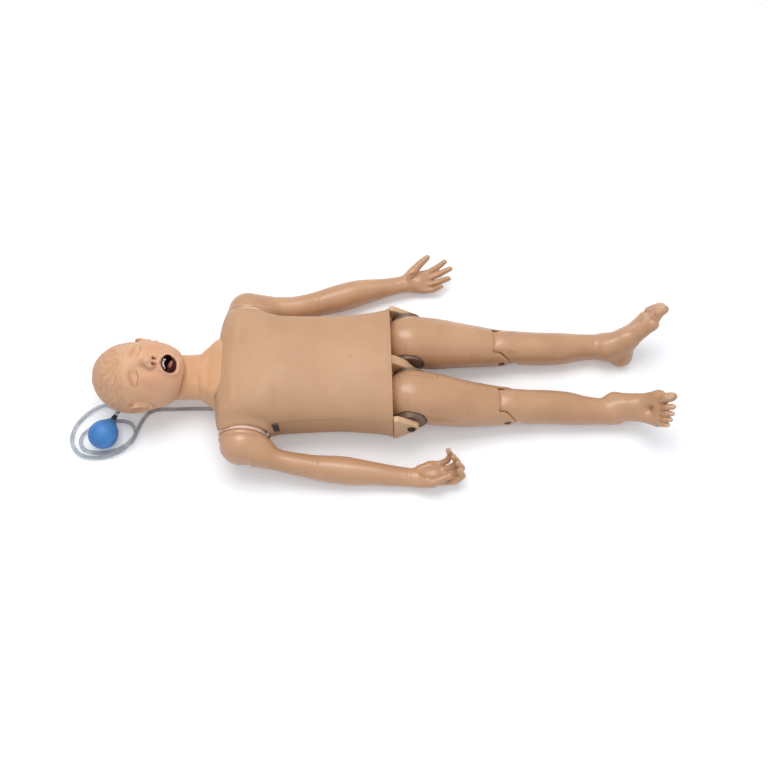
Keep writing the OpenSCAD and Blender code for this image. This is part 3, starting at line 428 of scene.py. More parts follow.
def rotation(about_x=0, about_y=0, about_z=0):
    """Turns about X, then Y, then Z, in degrees."""
    cx, sx = math.cos(degrees(about_x)), math.sin(degrees(about_x))
    cy, sy = math.cos(degrees(about_y)), math.sin(degrees(about_y))
    cz, sz = math.cos(degrees(about_z)), math.sin(degrees(about_z))
    rx = np.array([[1, 0, 0], [0, cx, -sx], [0, sx, cx]])
    ry = np.array([[cy, 0, sy], [0, 1, 0], [-sy, 0, cy]])
    rz = np.array([[cz, -sz, 0], [sz, cz, 0], [0, 0, 1]])
    return rz @ ry @ rx


def unit(vector):
    return vector / np.linalg.norm(vector)


def square_to(direction, axis):
    """The part of a direction that is square to an axis, at unit length."""
    return unit(direction - (direction @ axis) * axis)


def egg(centre, radii, turn=None):
    """Ellipsoid; turn's columns are the directions of its axes."""
    turn = np.eye(3) if turn is None else turn
    radii = np.array(radii, float)

    def distance(x, y, z):
        p = [x - centre[0], y - centre[1], z - centre[2]]
        k0 = 0
        k1 = 1e-9
        for k in range(3):
            along = p[0] * turn[0, k] + p[1] * turn[1, k] + p[2] * turn[2, k]
            k0 = k0 + (along / radii[k]) ** 2
            k1 = k1 + (along / radii[k] ** 2) ** 2
        k0 = np.sqrt(k0)
        return k0 * (k0 - 1) / np.sqrt(k1)

    reach = np.sqrt(((turn * radii) ** 2).sum(1))
    return distance, np.array(centre) - reach, np.array(centre) + reach


def chain(points, radii, steps=4):
    """Smooth round rod through points, whose radius changes along it."""
    if np.isscalar(radii):
        radii = [radii] * len(points)
    rows = smooth([[*p, r] for p, r in zip(points, radii)], steps)

    def distance(x, y, z):
        best = np.float32(1e3)
        for a, b in zip(rows[:-1], rows[1:]):
            d = b[:3] - a[:3]
            px, py, pz = x - a[0], y - a[1], z - a[2]
            t = np.clip((px * d[0] + py * d[1] + pz * d[2]) / max(d @ d, 1e-9), 0, 1)
            gap = np.sqrt((px - t * d[0]) ** 2 + (py - t * d[1]) ** 2 + (pz - t * d[2]) ** 2)
            best = np.minimum(best, gap - (a[3] + t * (b[3] - a[3])))
        return best

    low, high = around(rows[:, :3], rows[:, 3].max())
    return distance, low, high


def limb(rows, ends=0):
    """Limb along X; each row is x, y, z, half width and half height."""
    fine = smooth(rows, 8)

    def distance(x, y, z):
        at = x[:, 0, 0]
        y0, z0, ry, rz = [
            np.interp(at, fine[:, 0], fine[:, k]).reshape(-1, 1, 1).astype(np.float32) for k in range(1, 5)]
        p, q = y - y0, z - z0
        k0 = np.sqrt((p / ry) ** 2 + (q / rz) ** 2)
        k1 = np.sqrt((p / ry ** 2) ** 2 + (q / rz ** 2) ** 2) + 1e-6
        return np.maximum(k0 * (k0 - 1) / k1, np.maximum(fine[0, 0] - ends - x, x - fine[-1, 0] - ends))

    reach = fine[:, 3:5].max()
    return distance, fine[:, :3].min(0) - reach, fine[:, :3].max(0) + reach


def rod(axis, centre, radius, start, stop):
    """Cylinder along one axis; start and stop are its ends on that axis."""
    others = [k for k in range(3) if k != axis]

    def distance(x, y, z):
        p = (x, y, z)
        gap = np.sqrt((p[others[0]] - centre[others[0]]) ** 2 + (p[others[1]] - centre[others[1]]) ** 2)
        return np.maximum(gap - radius, np.maximum(start - p[axis], p[axis] - stop))

    low = np.array(centre, float) - radius
    high = np.array(centre, float) + radius
    low[axis], high[axis] = start, stop
    return distance, low, high


def side_rod(side, centre, radius, start, stop):
    """Cylinder along Y on one side, its ends given as distances from the middle plane."""
    return rod(1, centre, radius, *((start, stop) if side > 0 else (-stop, -start)))


def spow(value, power):
    return np.sign(value) * np.abs(value) ** power


def spot(points, centre, size):
    """A soft round mark, one at its centre, over points."""
    gap = ((points - np.array(centre)) / np.array(size)) ** 2
    return np.exp(-gap.sum(1))


# Head, in its own frame: X runs from crown to chin, Y to its left and Z out of the face
HEAD_AT = np.array([-285.0, 0, 74])
HEAD_SHIFT = np.array([-52.0, -2, 17.5])
HEAD_TURN = rotation(about_x=7) @ rotation(about_y=-6)
SKULL_MID, SKULL_R = (-22, 0, -4), (73, 69, 80)
FACE_MID, FACE_R = (22, 0, 9.8), (79.8, 66.9, 68)
FACE_FORMS = [
    (-4, 0, 3, 16, 44), (12, 27, -6.5, 9, 14), (12, -27, -6.5, 9, 14), (46, 34, 3.4, 20, 15),
    (46, -34, 3.4, 20, 15), (76, 0, 12.5, 20, 24), (98, 0, 9, 6, 17)]
MOUTH_X = 80
MOUTH_TOP = 77.9
MOUTH_DEPTH = 34
LINING_DOWN = 7
LINING_T = 1.7
MOUTH_HALF = (11.4, 16.4)
EYE_Y = 27.5
SOCKET_R = 51


def head_place(points):
    return (points + HEAD_SHIFT) @ HEAD_TURN.T + HEAD_AT


def egg_reach(dx, dy, dz, mid, radii):
    """How far from the head's middle an ellipsoid's surface is, in each direction."""
    aa = (dx / radii[0]) ** 2 + (dy / radii[1]) ** 2 + (dz / radii[2]) ** 2
    bb = dx * mid[0] / radii[0] ** 2 + dy * mid[1] / radii[1] ** 2 + dz * mid[2] / radii[2] ** 2
    cc = sum((m / r) ** 2 for m, r in zip(mid, radii)) - 1
    return (bb + np.sqrt(bb * bb - aa * cc)) / aa


def head_base(x, y, z):
    swell = 0
    for fx, fy, height, lx, ly in FACE_FORMS:
        swell = swell + height * np.exp(-((x - fx) / lx) ** 2 - ((y - fy) / ly) ** 2)
    lifted = z - swell * np.clip(z / 40, 0, 1)
    r = np.sqrt(x * x + y * y + lifted * lifted) + 1e-3
    a = egg_reach(x / r, y / r, lifted / r, SKULL_MID, SKULL_R)
    b = egg_reach(x / r, y / r, lifted / r, FACE_MID, FACE_R)
    return r - (a ** 14 + b ** 14) ** (1 / 14)


# Hair: low locks that run out from a whorl at the back of the crown
WHORL = unit(np.array([-0.76, 0.12, -0.64]))
WHORL_U = unit(np.cross(WHORL, [0, 1, 0]))
WHORL_V = np.cross(WHORL, WHORL_U)


def hair_cover(x, y, z):
    """One where hair covers the head, falling to nothing at the hairline."""
    r = np.sqrt(y * y + z * z) + 1e-3
    height = z / r
    around_x = np.arctan2(z, y)
    line = np.interp(height, [-1, -0.4, -0.22, 0.1, 0.35, 0.7, 1], [66, 60, 20, 6, 0, -8, -12])
    line = line + 3 * np.sin(9 * around_x + 1) + 1.6 * np.sin(21 * around_x)
    t = np.clip((line - x) / 5, 0, 1)
    return t * t * (3 - 2 * t)


def hair_relief(x, y, z):
    r = np.sqrt(x * x + y * y + z * z) + 1e-3
    back = (x * WHORL[0] + y * WHORL[1] + z * WHORL[2]) / r
    turn = np.arctan2(x * WHORL_V[0] + y * WHORL_V[1] + z * WHORL_V[2],
                      x * WHORL_U[0] + y * WHORL_U[1] + z * WHORL_U[2])
    fall = np.arccos(np.clip(back, -1, 1))
    bent = turn + 0.25 * np.sin(2.2 * fall + 2 * turn) + 0.10 * np.sin(5.5 * fall - 3 * turn + 1)
    bent = bent + 0.04 * np.sin(13 * fall + 5 * turn)
    locks = np.sqrt(np.abs(np.sin(18 * bent)) + 1e-3)
    strands = np.sin(61 * bent + 2 * np.sin(4 * fall))
    steps = np.sin(7.5 * fall + 1.4 * np.sin(13 * bent))
    open_out = np.clip(np.sin(fall) / 0.3, 0, 1)
    return hair_cover(x, y, z) * (open_out * (1.5 * locks + 0.35 * strands + 0.4 * steps) - 0.6)


def eye_line(clay, side, start_x, bend, half, lift, count=9):
    """Points across an eye, on the surface."""
    out = []
    for k in range(count):
        t = 2 * k / (count - 1) - 1
        x = start_x + bend * (1 - t * t)
        y = side * (EYE_Y + half * t)
        out.append((x, y, clay.top(x, y) + lift))
    return out


def ear_forms(clay, side):
    """An ear with its rim, inner fold, hollow, lobe and flap."""
    mid = np.array([13.0, side * (64.0 if side > 0 else 66.0), 16.0])
    turn = rotation(about_x=-12 * side, about_y=14)

    def at(along, out, up):
        return mid + turn @ np.array([along, side * out, up])

    clay.add(egg(mid, (20, 4.6, 13), turn), 4)
    clay.add(egg(at(1, -3, 6), (15, 6, 8), turn), 5)
    clay.cut(egg(at(2, 5.5, 1), (15.5, 4, 9.5), turn), 1.5)
    rim = [(0, 2.5, 10), (-11, 4, 12), (-19, 5, 7.5), (-21, 5.5, -1), (-17, 6, -9), (-7, 6.5, -13.5),
           (5, 6, -12.5), (14, 5, -7.5), (18.5, 4, -1), (18.5, 3, 5)]
    clay.add(chain([at(*p) for p in rim], [2.4, 2.4, 2.5, 2.5, 2.4, 2.3, 2.3, 2.6, 3.4, 3.6]), 1.5)
    fold = [(-12, 3.6, 2), (-8, 4, -4.5), (0, 4.2, -7), (8, 3.6, -4), (12, 3, 1)]
    clay.add(chain([at(*p) for p in fold], [1.6, 2, 2, 1.8, 1.5]), 1.5)
    clay.add(egg(at(17.5, 2.2, 1), (5.5, 3.4, 6.5), turn), 2)
    clay.add(egg(at(5, 3.6, 8.5), (4.5, 2.8, 3), turn), 2)
    clay.cut(egg(at(2, 1.5, 1.5), (5.5, 5, 4), turn), 1.5)


def build_head():
    clay = Clay((-106, -86, -96), (112, 86, 110), 1.3)
    places = np.meshgrid(*clay.axes, indexing="ij", sparse=True)
    clay.field = head_base(*places).astype(np.float32)
    clay.field -= hair_relief(*places).astype(np.float32)
    # Eyes: closed lids over the eyeballs
    for side in (-1, 1):
        lid = clay.top(18, side * EYE_Y)
        clay.add(egg((18, side * EYE_Y, lid - 5.8), (10.5, 14, 10)), 2.5)
        clay.cut(chain(eye_line(clay, side, 20.5, 4.5, 13.5, 0.3), 1.2, 2), 1)
        clay.add(chain(eye_line(clay, side, 24.5, 4, 11, -0.9), 1.8, 2), 2)
        clay.cut(chain(eye_line(clay, side, 10, -3.5, 14, 0.4), 1.4, 2), 2)
        clay.add(chain(eye_line(clay, side, 0, -4, 17, -1.5), [1, 2, 2.6, 3, 3, 3, 2.6, 2, 1], 2), 5)
    # Nose
    clay.add(chain([(2, 0, 70), (17, 0, 73.5), (33, 0, 78.5), (46, 0, 85.5)], [6.4, 5.4, 6.6, 8.8]), 6)
    clay.add(chain([(47, 0, 85), (56, 0, 81), (63, 0, 76)], [7, 4.4, 3.2]), 3)
    for side in (-1, 1):
        clay.add(egg((51.5, side * 8.4, 79.5), (8, 6, 8)), 3)
        wing = [(44, side * 15.6, 81), (52, side * 15.8, 77), (60, side * 13, 74)]
        clay.cut(chain(wing, [0.8, 1.4, 0.8]), 2.5)
    for side in (-1, 1):
        hole = clay.top(57.5, side * 5.6)
        nostril = [(59.5, side * 6.0, hole + 0.5), (56, side * 5.6, hole - 1), (50, side * 4.6, hole - 5)]
        clay.cut(chain(nostril, [2.5, 3.0, 2.2]), 0.8)
    # Lips: a soft ring round the open mouth
    ring = []
    sizes = []
    for k in range(25):
        a = 2 * math.pi * k / 24
        x = MOUTH_X + 14.2 * math.cos(a)
        y = 19.2 * math.sin(a)
        bow = 1.2 * math.exp(-(y / 5) ** 2) if math.cos(a) < 0 else 0
        ring.append((x + bow, y, clay.top(x, y) - 1.6))
        sizes.append(3.3 + 0.9 * max(0, math.cos(a)) + 0.4 * max(0, -math.cos(a)))
    clay.add(chain(ring, sizes, 2), 4)

    def pocket(x, y, z):
        dx, dy = (x - MOUTH_X) / MOUTH_HALF[0], y / MOUTH_HALF[1]
        k0 = np.sqrt(dx * dx + dy * dy)
        k1 = np.sqrt((dx / MOUTH_HALF[0]) ** 2 + (dy / MOUTH_HALF[1]) ** 2) + 1e-6
        return np.maximum(k0 * (k0 - 1) / k1, MOUTH_TOP - MOUTH_DEPTH - z)

    clay.cut((pocket, (66, -20, 40), (94, 20, 110)), 2.4)
    for side in (-1, 1):
        ear_forms(clay, side)
    # Hollow that the neck turns in
    px, py, pz = places[0] + HEAD_SHIFT[0], places[1] + HEAD_SHIFT[1], places[2] + HEAD_SHIFT[2]
    wx, wy, wz = [HEAD_TURN[k, 0] * px + HEAD_TURN[k, 1] * py + HEAD_TURN[k, 2] * pz for k in range(3)]
    gap = np.sqrt(wy * wy + wz * wz)
    hollow = np.minimum(np.sqrt(wx * wx + gap * gap) - SOCKET_R,
                        np.maximum(gap - SOCKET_R - wx * 4 / 80, -wx))
    clay.field = soft_max(clay.field, -hollow.astype(np.float32), 2.5)
    points, faces = clay.surface()
    front = points[:, 2] > 40
    mouth_gap = np.hypot((points[:, 0] - MOUTH_X) / 15, points[:, 1] / 20)
    lip = np.exp(-((mouth_gap - 1) / 0.2) ** 2) * front
    blush = sum(spot(points, (48, s * 36, 66), (24, 20, 30)) for s in (-1, 1))
    blush += sum(spot(points, (10, s * 68, -6), (26, 14, 20)) for s in (-1, 1))
    # Painted shade in the nostrils and along the eyelid grooves
    painted_nostril_and_lid_shade = sum(spot(points, (57.5, s * 5.8, 80), (4, 3.2, 9)) for s in (-1, 1))
    across = (np.abs(points[:, 1]) - EYE_Y) / 14
    bow = np.clip(1 - across ** 2, 0, 1)
    lid_groove_shade = np.exp(-((points[:, 0] - 21 - 4.5 * bow) / 1.3) ** 2)
    lid_groove_shade += 0.6 * np.exp(-((points[:, 0] - 10 + 3.5 * bow) / 1.6) ** 2)
    painted_nostril_and_lid_shade += 0.55 * lid_groove_shade * (np.abs(across) < 1) * front
    # The hair's own darker tone, with painted shade in the hollows between the locks and none on their
    # ridges
    hair_tone_and_lock_shade = hair_cover(*points.T) * (0.8 - 0.5 * hair_relief(*points.T))
    marks = {"lip": lip, "blush": blush, "hair_tone_and_lock_shade": hair_tone_and_lock_shade, "crease": painted_nostril_and_lid_shade}
    make("head_moulding", head_place(points), faces, "head", ["head"], face_finish, marks)


def build_mouth():
    """Mouth lining, tongue and upper teeth, in the head's own frame."""
    clay = Clay((60, -24, 40), (100, 24, 76), 0.9)

    def cup(x, y, shrink):
        return np.hypot((x - MOUTH_X) / 11.8, y / 16.8) * 13 - 13 + shrink

    def outside(x, y, z):
        return np.maximum(cup(x, y, 0), np.maximum(MOUTH_TOP - 33.7 - z, z - MOUTH_TOP + LINING_DOWN))

    def inside(x, y, z):
        return np.maximum(cup(x, y, LINING_T), MOUTH_TOP - 32 - z)

    clay.add((outside, (66, -18, 43), (94, 18, 72)), 0.5)
    clay.cut((inside, (66, -18, 43), (94, 18, 80)), 1.5)
    for k in range(3):
        clay.add(chain([(69.5, y, MOUTH_TOP - 16 - 4 * k) for y in (-7, 0, 7)], 0.8, 2), 1)
    cast(clay, "lining_moulding", "head", ["mouth_lining"], mouth_finish, head_place)
    floor_z = MOUTH_TOP - MOUTH_DEPTH + 2
    clay = Clay((62, -20, 34), (98, 20, 72), 0.7)
    middle = [(76, 0, floor_z + 1), (82, 0, floor_z + 6), (86, 0, floor_z + 12), (87.5, 0, floor_z + 16)]
    clay.add(chain(middle, [4, 5.4, 4.6, 2.8]), 2)
    for y in (-4.6, 4.6):
        clay.add(chain([(80, y, floor_z + 4), (85.5, y, floor_z + 12)], [4, 3.6]), 4)
    clay.cut(chain([(82, 0, floor_z + 13), (84, 0, floor_z + 20)], 0.9), 2.5)
    clay.keep(lambda x, y, z: np.hypot((x - MOUTH_X) / 10.2, y / 15.2) * 12 - 12, 1.5)
    cast(clay, "tongue_moulding", "head", ["tongue"], tongue_finish, head_place)
    clay = Clay((62, -20, 56), (98, 20, 78), 0.6)
    for k in (-1.5, -0.5, 0.5, 1.5):
        a = degrees(21 * k)
        x, y = MOUTH_X + 3.5 - 12.2 * math.cos(a), 12.2 * math.sin(a)
        turn = rotation(about_z=math.degrees(a))
        clay.add(egg((x, y, MOUTH_TOP - 10.6), (1.6, 2.2, 3.8), turn), 0.4)
    gum = [(MOUTH_X + 3.5 - 13.4 * math.cos(degrees(a)), 13.4 * math.sin(degrees(a)), MOUTH_TOP - 13.5)
           for a in range(-44, 45, 11)]
    clay.add(chain(gum, 1.3, 2), 0.6)
    cast(clay, "teeth_moulding", "head", ["upper_teeth"], tooth_finish, head_place)


# Neck skin: a loft with a rounded collar that lies over the top of the chest
NECK_W, NECK_D = 95, 72
HEAD_X = -285
NECK_ROWS = [
    [HEAD_X - 15, 0.93, 0.92, 73.5, 0], [HEAD_X - 4, 0.985, 0.97, 73.5, 0], [HEAD_X + 14, 1, 0.98, 73, 0],
    [HEAD_X + 30, 1, 1, 72.5, 0], [HEAD_X + 46, 0.99, 1.03, 72, 0], [HEAD_X + 60, 1.02, 1.1, 72, 4],
    [HEAD_X + 72, 1.12, 1.2, 73, 13], [HEAD_X + 77, 1.23, 1.35, 75, 21],
    [HEAD_X + 81.5, 1.33, 1.62, 76, 34]]
HEM_RINGS = 5


def build_neck():
    sides = 144
    a = np.linspace(0, 2 * math.pi, sides, endpoint=False)
    rows = smooth(NECK_ROWS, 10)

    def ring(row, shrink, push):
        front = np.exp(-((np.sin(a) - 1) / 0.5) ** 2)
        along = (row[0] - HEAD_X) / 80
        cord_like = 1.1 * np.exp(-((np.abs(np.cos(a)) - 0.62) / 0.13) ** 2) * (np.sin(a) > 0)
        throat = 1.6 * front * math.exp(-((along - 0.36) / 0.16) ** 2)
        folds = -0.3 * math.exp(-((along - 0.62) / 0.03) ** 2) * (np.sin(a) > -0.2)
        folds = folds - 0.7 * math.exp(-((along - 0.22) / 0.025) ** 2) * (np.sin(a) > -0.2)
        swell = (cord_like * max(0, math.sin(math.pi * min(1, max(0, along)))) + throat + folds) - shrink
        # The collar's hem is squarer than the neck, so that it lies on the chest
        power = 2 / (2 + 4 * min(1, max(0, (along - 0.78) / 0.2)))
        return np.stack([
            row[0] + push + row[4] * (1 + np.sin(a)) / 2,
            (NECK_W / 2 * row[1] + swell) * spow(np.cos(a), power),
            row[3] + (NECK_D / 2 * row[2] + swell) * spow(np.sin(a), power)], 1)

    rings = [ring(row, 0, 0) for row in rows]
    # The hem's last rings turn under; their painted shade draws the collar's edge
    hem = rows[-1]
    for shrink, push in ((-0.35, 0.7), (-0.2, 1.6), (0.6, 2.4), (2, 2.7), (8, 3.0), (14, 3.5)):
        rings.append(ring(hem, shrink, push))
    first = rows[0]
    inner = [ring(first, shrink, push) for shrink, push in ((2.2, 0.4), (1, -0.8), (0.3, -0.5))]
    rings = [ring(first, 18, 10), ring(first, 6, 3)] + inner + rings
    points = np.vstack(rings)
    count = len(rings)
    faces = loft_faces(count, sides)
    along = (points[:, 0] - HEAD_X) / 80
    # Painted shadow of the jaw on the neck, along a line just under the jaw's edge; the collar's last rings
    # get full painted shade
    under_jaw = 0.34 - 0.3 * np.clip(np.abs(points[:, 1] + 4) / 46, 0, 1) ** 2
    crease = np.exp(-((along - under_jaw) / 0.1) ** 2) * (points[:, 2] > 40)
    crease[-HEM_RINGS * sides:] = 1
    make("neck_moulding", points, faces, "torso", ["neck_skin"], neck_finish,
         {"crease": crease})


# Chest skin: sections along X, each a superellipse that is flat underneath
CHEST_HALF = 127
CHEST_D = 149
BODY_Z = 72
HEM_X = 165
CHEST_ROWS = [
    [TOP_X - 33, 56, 0.83, 24], [TOP_X - 31, 70, 0.845, 23], [TOP_X - 27, 90, 0.86, 20],
    [TOP_X - 21, CHEST_HALF - 19, 0.875, 17], [TOP_X - 12, CHEST_HALF - 6, 0.893, 12],
    [TOP_X - 1, CHEST_HALF, 0.915, 6], [TOP_X + 17, CHEST_HALF - 0.5, 0.955, 0],
    [TOP_X + 50, CHEST_HALF - 5, 0.99, 0], [TOP_X + 95, CHEST_HALF - 8, 1, 0],
    [0, CHEST_HALF - 11, 0.975, 0], [HEM_X - 100, CHEST_HALF - 11, 0.95, 0],
    [HEM_X - 45, CHEST_HALF - 6, 0.955, 0], [HEM_X - 12, CHEST_HALF - 1, 0.985, 0],
    [HEM_X, CHEST_HALF + 4, 1.005, 0]]
SKIN_EDGE_Z = 30
SKIN_T = 3
ARMHOLE_AT = (-129, 72)
ARMHOLE_R = 50
SPACING, QUICK_SPACING, EDGE_SNAP = 2.2, 4, 0.66
GUIDE_HALF, GUIDE_UP = 122, 74
FULL_FROM, FULL_TO = -198, -62
LIP_OUT, LIP_WIDTH, LIP_REACH = 10, 14, (133.5, 130)
SEAM_Z, SEAM_FROM, SEAM_TO = 100, -72, 84
NAVEL_X = 86
CHEST_MARKS = (-70, 67)


def chest_grid(spacing):
    """Points of the outer surface, evenly spaced along the body and round it."""
    rows = smooth(CHEST_ROWS, 12)
    way = np.concatenate([[0], np.cumsum(np.hypot(np.diff(rows[:, 0]), np.diff(rows[:, 1])))])
    even = np.linspace(0, way[-1], int(way[-1] / spacing))
    rows = np.stack([np.interp(even, way, rows[:, k]) for k in range(4)], 1)
    edge = math.asin(((BODY_Z - SKIN_EDGE_Z) / BODY_Z) ** 1.5)
    a = np.linspace(-edge, math.pi + edge, 40001)
    y = GUIDE_HALF * spow(np.cos(a), 2 / 3)
    z = GUIDE_UP * spow(np.sin(a), 2 / 3)
    way = np.concatenate([[0], np.cumsum(np.hypot(np.diff(y), np.diff(z)))])
    a = np.interp(np.linspace(0, way[-1], int(way[-1] / spacing)), way, a)
    up = np.where(np.sin(a)[None, :] > 0, CHEST_D * rows[:, 2:3] - BODY_Z, BODY_Z)
    # The skin is fuller over the shoulders, so that it comes out over the rings
    x = rows[:, 0:1]
    full = np.clip((x - FULL_FROM) / 22, 0, 1) * np.clip((FULL_TO - x) / 40, 0, 1)
    power = 2 / (3 + 5 * full)
    return np.stack([
        x + rows[:, 3:4] * (1 + np.sin(a)) / 2,
        rows[:, 1:2] * spow(np.cos(a), power),
        BODY_Z + up * spow(np.sin(a), 2 / 3)], -1)


def chest_relief(p):
    """Low relief of the chest and belly, outwards from the skin."""
    x, y, z = p[..., 0], np.abs(p[..., 1]), p[..., 2]
    top = np.clip((z - 95) / 25, 0, 1)

    def bump(cx, cy, lx, ly):
        return np.exp(-((x - cx) / lx) ** 2 - ((y - cy) / ly) ** 2)

    relief = 0.3 * bump(*CHEST_MARKS, 8, 8) + 0.6 * bump(*CHEST_MARKS, 2.8, 2.8)
    relief = relief - 1.0 * bump(-109, 0, 2.4, 2.4)
    relief = relief - 1.6 * bump(NAVEL_X, 0, 3, 3.6)
    relief = relief + 0.5 * np.exp(-((np.hypot(x - NAVEL_X, y) - 8) / 3) ** 2)
    relief = relief + 2.2 * bump(-78, 56, 36, 34) - 1.2 * bump(-70, 0, 55, 9)
    relief = relief + 1.6 * bump(92, 0, 50, 62) - 1.3 * bump(20, 0, 26, 40)
    arch = x - (4 + 0.0075 * y * y)
    relief = relief + 1.2 * np.exp(-(arch / 12) ** 2) * np.exp(-(y / 95) ** 4)
    bone = x + 146 - 0.05 * y
    relief = relief + 1.8 * np.exp(-(bone / 6) ** 2) * np.exp(-((y - 62) / 36) ** 4)
    relief = relief - 1.0 * bump(-150, 0, 9, 14)
    relief = relief * top
    seam = np.exp(-((z - SEAM_Z) / 1.5) ** 2) * (y > 100)
    seam = seam * np.clip((x - SEAM_FROM) / 8, 0, 1) * np.clip((SEAM_TO - x) / 8, 0, 1)
    hem = np.exp(-((x - HEM_X + 9) / 1.6) ** 2)
    return relief - 0.9 * seam - 0.5 * hem


def clip_grid(points, shape, keep_above):
    """Faces of a grid of points, cut back to where keep_above is not negative."""
    rows, columns = shape
    value = keep_above(points)
    value = np.where(np.abs(value) < EDGE_SNAP, 0.0, value)
    points = [tuple(p) for p in points]
    made = {}
    faces = []

    def crossing(a, b):
        key = (min(a, b), max(a, b))
        if key not in made:
            t = value[a] / (value[a] - value[b])
            pa, pb = points[a], points[b]
            points.append(tuple(pa[k] + t * (pb[k] - pa[k]) for k in range(3)))
            made[key] = len(points) - 1
        return made[key]

    for i in range(rows - 1):
        for j in range(columns - 1):
            first = i * columns + j
            corners = (first, first + 1, first + columns + 1, first + columns)
            if all(value[c] >= 0 for c in corners):
                faces.append(corners)
                continue
            if all(value[c] <= 0 for c in corners):
                continue
            face = []
            for k in range(4):
                a, b = corners[k], corners[(k + 1) % 4]
                if value[a] >= 0:
                    face.append(a)
                if value[a] * value[b] < 0:
                    face.append(crossing(a, b))
            if len(face) > 2:
                faces.append(tuple(face))
    return np.array(points), faces


def armhole(points):
    """Distance outside the armholes, for points of the skin."""
    gap = np.hypot(points[:, 0] - ARMHOLE_AT[0], points[:, 2] - ARMHOLE_AT[1]) - ARMHOLE_R
    return np.where(np.abs(points[:, 1]) > 80, gap, 100.0)


def build_chest():
    grid = chest_grid(SPACING)
    along = np.gradient(grid, axis=0)
    across = np.gradient(grid, axis=1)
    normal = np.cross(across, along)
    normal /= np.linalg.norm(normal, axis=-1, keepdims=True) + 1e-9
    outward = np.sign((normal * (grid - np.array([0, 0, BODY_Z]))).sum(-1).mean())
    normal = normal * outward
    shape = grid.shape[:2]
    points = (grid + normal * chest_relief(grid)[..., None]).reshape(-1, 3)
    # Points close to an armhole's edge are drawn onto it, so that its line runs true
    gap = armhole(points)
    close = np.abs(gap) < EDGE_SNAP
    ray = points[:, [0, 2]] - np.array(ARMHOLE_AT)
    ray /= np.linalg.norm(ray, axis=1, keepdims=True)
    points[close, 0] -= (gap * ray[:, 0])[close]
    points[close, 2] -= (gap * ray[:, 1])[close]
    # The edge turns out over the rings, further on the left
    lip = LIP_OUT * np.clip(1 - np.abs(armhole(points)) / LIP_WIDTH, 0, 1) ** 2
    out_to = np.where(points[:, 1] > 0, *LIP_REACH)
    points[:, 1] += np.sign(points[:, 1]) * np.minimum(lip, np.maximum(out_to - np.abs(points[:, 1]), 0))
    points, faces = clip_grid(points, shape, armhole)
    if outward > 0:
        faces = [f[::-1] for f in faces]
    used = sorted({i for f in faces for i in f})
    number = {old: new for new, old in enumerate(used)}
    faces = [tuple(number[i] for i in f) for f in faces]
    points = points[used]
    edge_gap = np.abs(armhole(points))
    # Painted shade along the side seam, round the armholes' edges and in the navel and breastbone dimples;
    # the nipple spots are the skin's own colour
    seam = np.exp(-((points[:, 2] - SEAM_Z) / 2) ** 2) * (np.abs(points[:, 1]) > 100)
    seam *= (points[:, 0] > SEAM_FROM) & (points[:, 0] < SEAM_TO)
    crease = 0.7 * seam + 0.8 * np.exp(-(edge_gap / 1.2) ** 2)
    crease += 0.3 * spot(points, (NAVEL_X, 0, 145), (3, 4, 30))
    crease += 0.2 * spot(points, (-109, 0, 145), (2.5, 2.5, 30))
    for side in (-1, 1):
        crease += 0.2 * spot(points, (CHEST_MARKS[0], side * CHEST_MARKS[1], 140), (6, 6, 30))
    made = make("chest_moulding", points, faces, "torso", ["chest_skin"], chest_finish,
                {"crease": crease})
    shell = made.modifiers.new("thickness", "SOLIDIFY")
    shell.thickness = SKIN_T * MM
    shell.offset = -1
    shell.use_even_offset = False
    edge = made.modifiers.new("edge", "BEVEL")
    edge.width = 0.9 * MM
    edge.segments = 3
    edge.limit_method = "ANGLE"
    edge.angle_limit = degrees(50)


# Arms: x, y, z, half width and half height from under the shoulder to the wrist
SHOULDER = np.array([-131.0, 0, 75])
ARM_FACE = 135.5
ARM_L = [
    [-105, 158, 70, 27, 30], [-86, 161, 64, 27, 28], [-62, 165, 58, 26, 27], [-37, 169, 53, 26, 26],
    [-11, 177, 47, 27, 27], [14, 187, 42, 28, 27], [40, 197, 38, 30, 29], [66, 206, 35, 31, 30],
    [93, 215, 33, 30, 29], [119, 222, 31, 27, 26], [148, 228, 30, 23, 22], [175, 234, 30, 20.5, 18],
    [196, 239, 29, 20, 16], [206, 242, 29, 19, 13]]
ARM_R = [
    [-105, -166, 68, 27, 30], [-84, -171, 62, 25, 27], [-62, -177, 55, 22, 23], [-41, -182, 50, 22, 22.5],
    [-14, -186, 44, 23, 23.5], [13, -190, 38, 25, 25], [42, -192, 33, 27, 27], [72, -195, 30, 28, 27],
    [100, -198, 28, 25.5, 25], [129, -201, 26, 22.5, 22.5], [158, -205, 24, 21, 19],
    [185, -208, 22, 19.5, 16.5], [204, -210, 21, 19, 15], [214, -210, 21, 18, 12]]
# Fingers from knuckle to tip: thumb, index, middle, ring and little
HAND_L = [
    [[208, 252, 32], [228, 270, 43], [242, 281, 52], [254, 288, 59]],
    [[236, 262, 28], [254, 268, 28], [276, 276, 37], [293, 284, 47]],
    [[236, 252, 26], [257, 256, 25], [282, 264, 31], [305, 271, 39]],
    [[236, 243, 23], [255, 242, 22], [280, 245, 27], [300, 248, 35]],
    [[232, 234, 20], [248, 230, 18], [268, 229, 21], [283, 231, 30]]]
HAND_R = [
    [[214, -222, 26], [238, -226, 36], [256, -222, 43], [271, -217, 45]],
    [[240, -216, 22], [260, -219, 21], [284, -220, 25], [297, -214, 37], [292, -209, 49]],
    [[240, -206, 20], [262, -207, 18], [287, -205, 26], [296, -200, 43], [290, -196, 56]],
    [[240, -196, 20], [258, -196, 18], [281, -192, 28], [288, -187, 44], [282, -183, 57]],
    [[236, -188, 22], [252, -184, 20], [270, -180, 32], [276, -174, 48], [272, -170, 60]]]
WRIST = {1: np.array([204.0, 241, 28]), -1: np.array([212.0, -210, 21])}
FINGER_R = [[10.5, 7], [8, 6.2], [8.2, 6.2], [7.8, 6], [7, 5.4]]


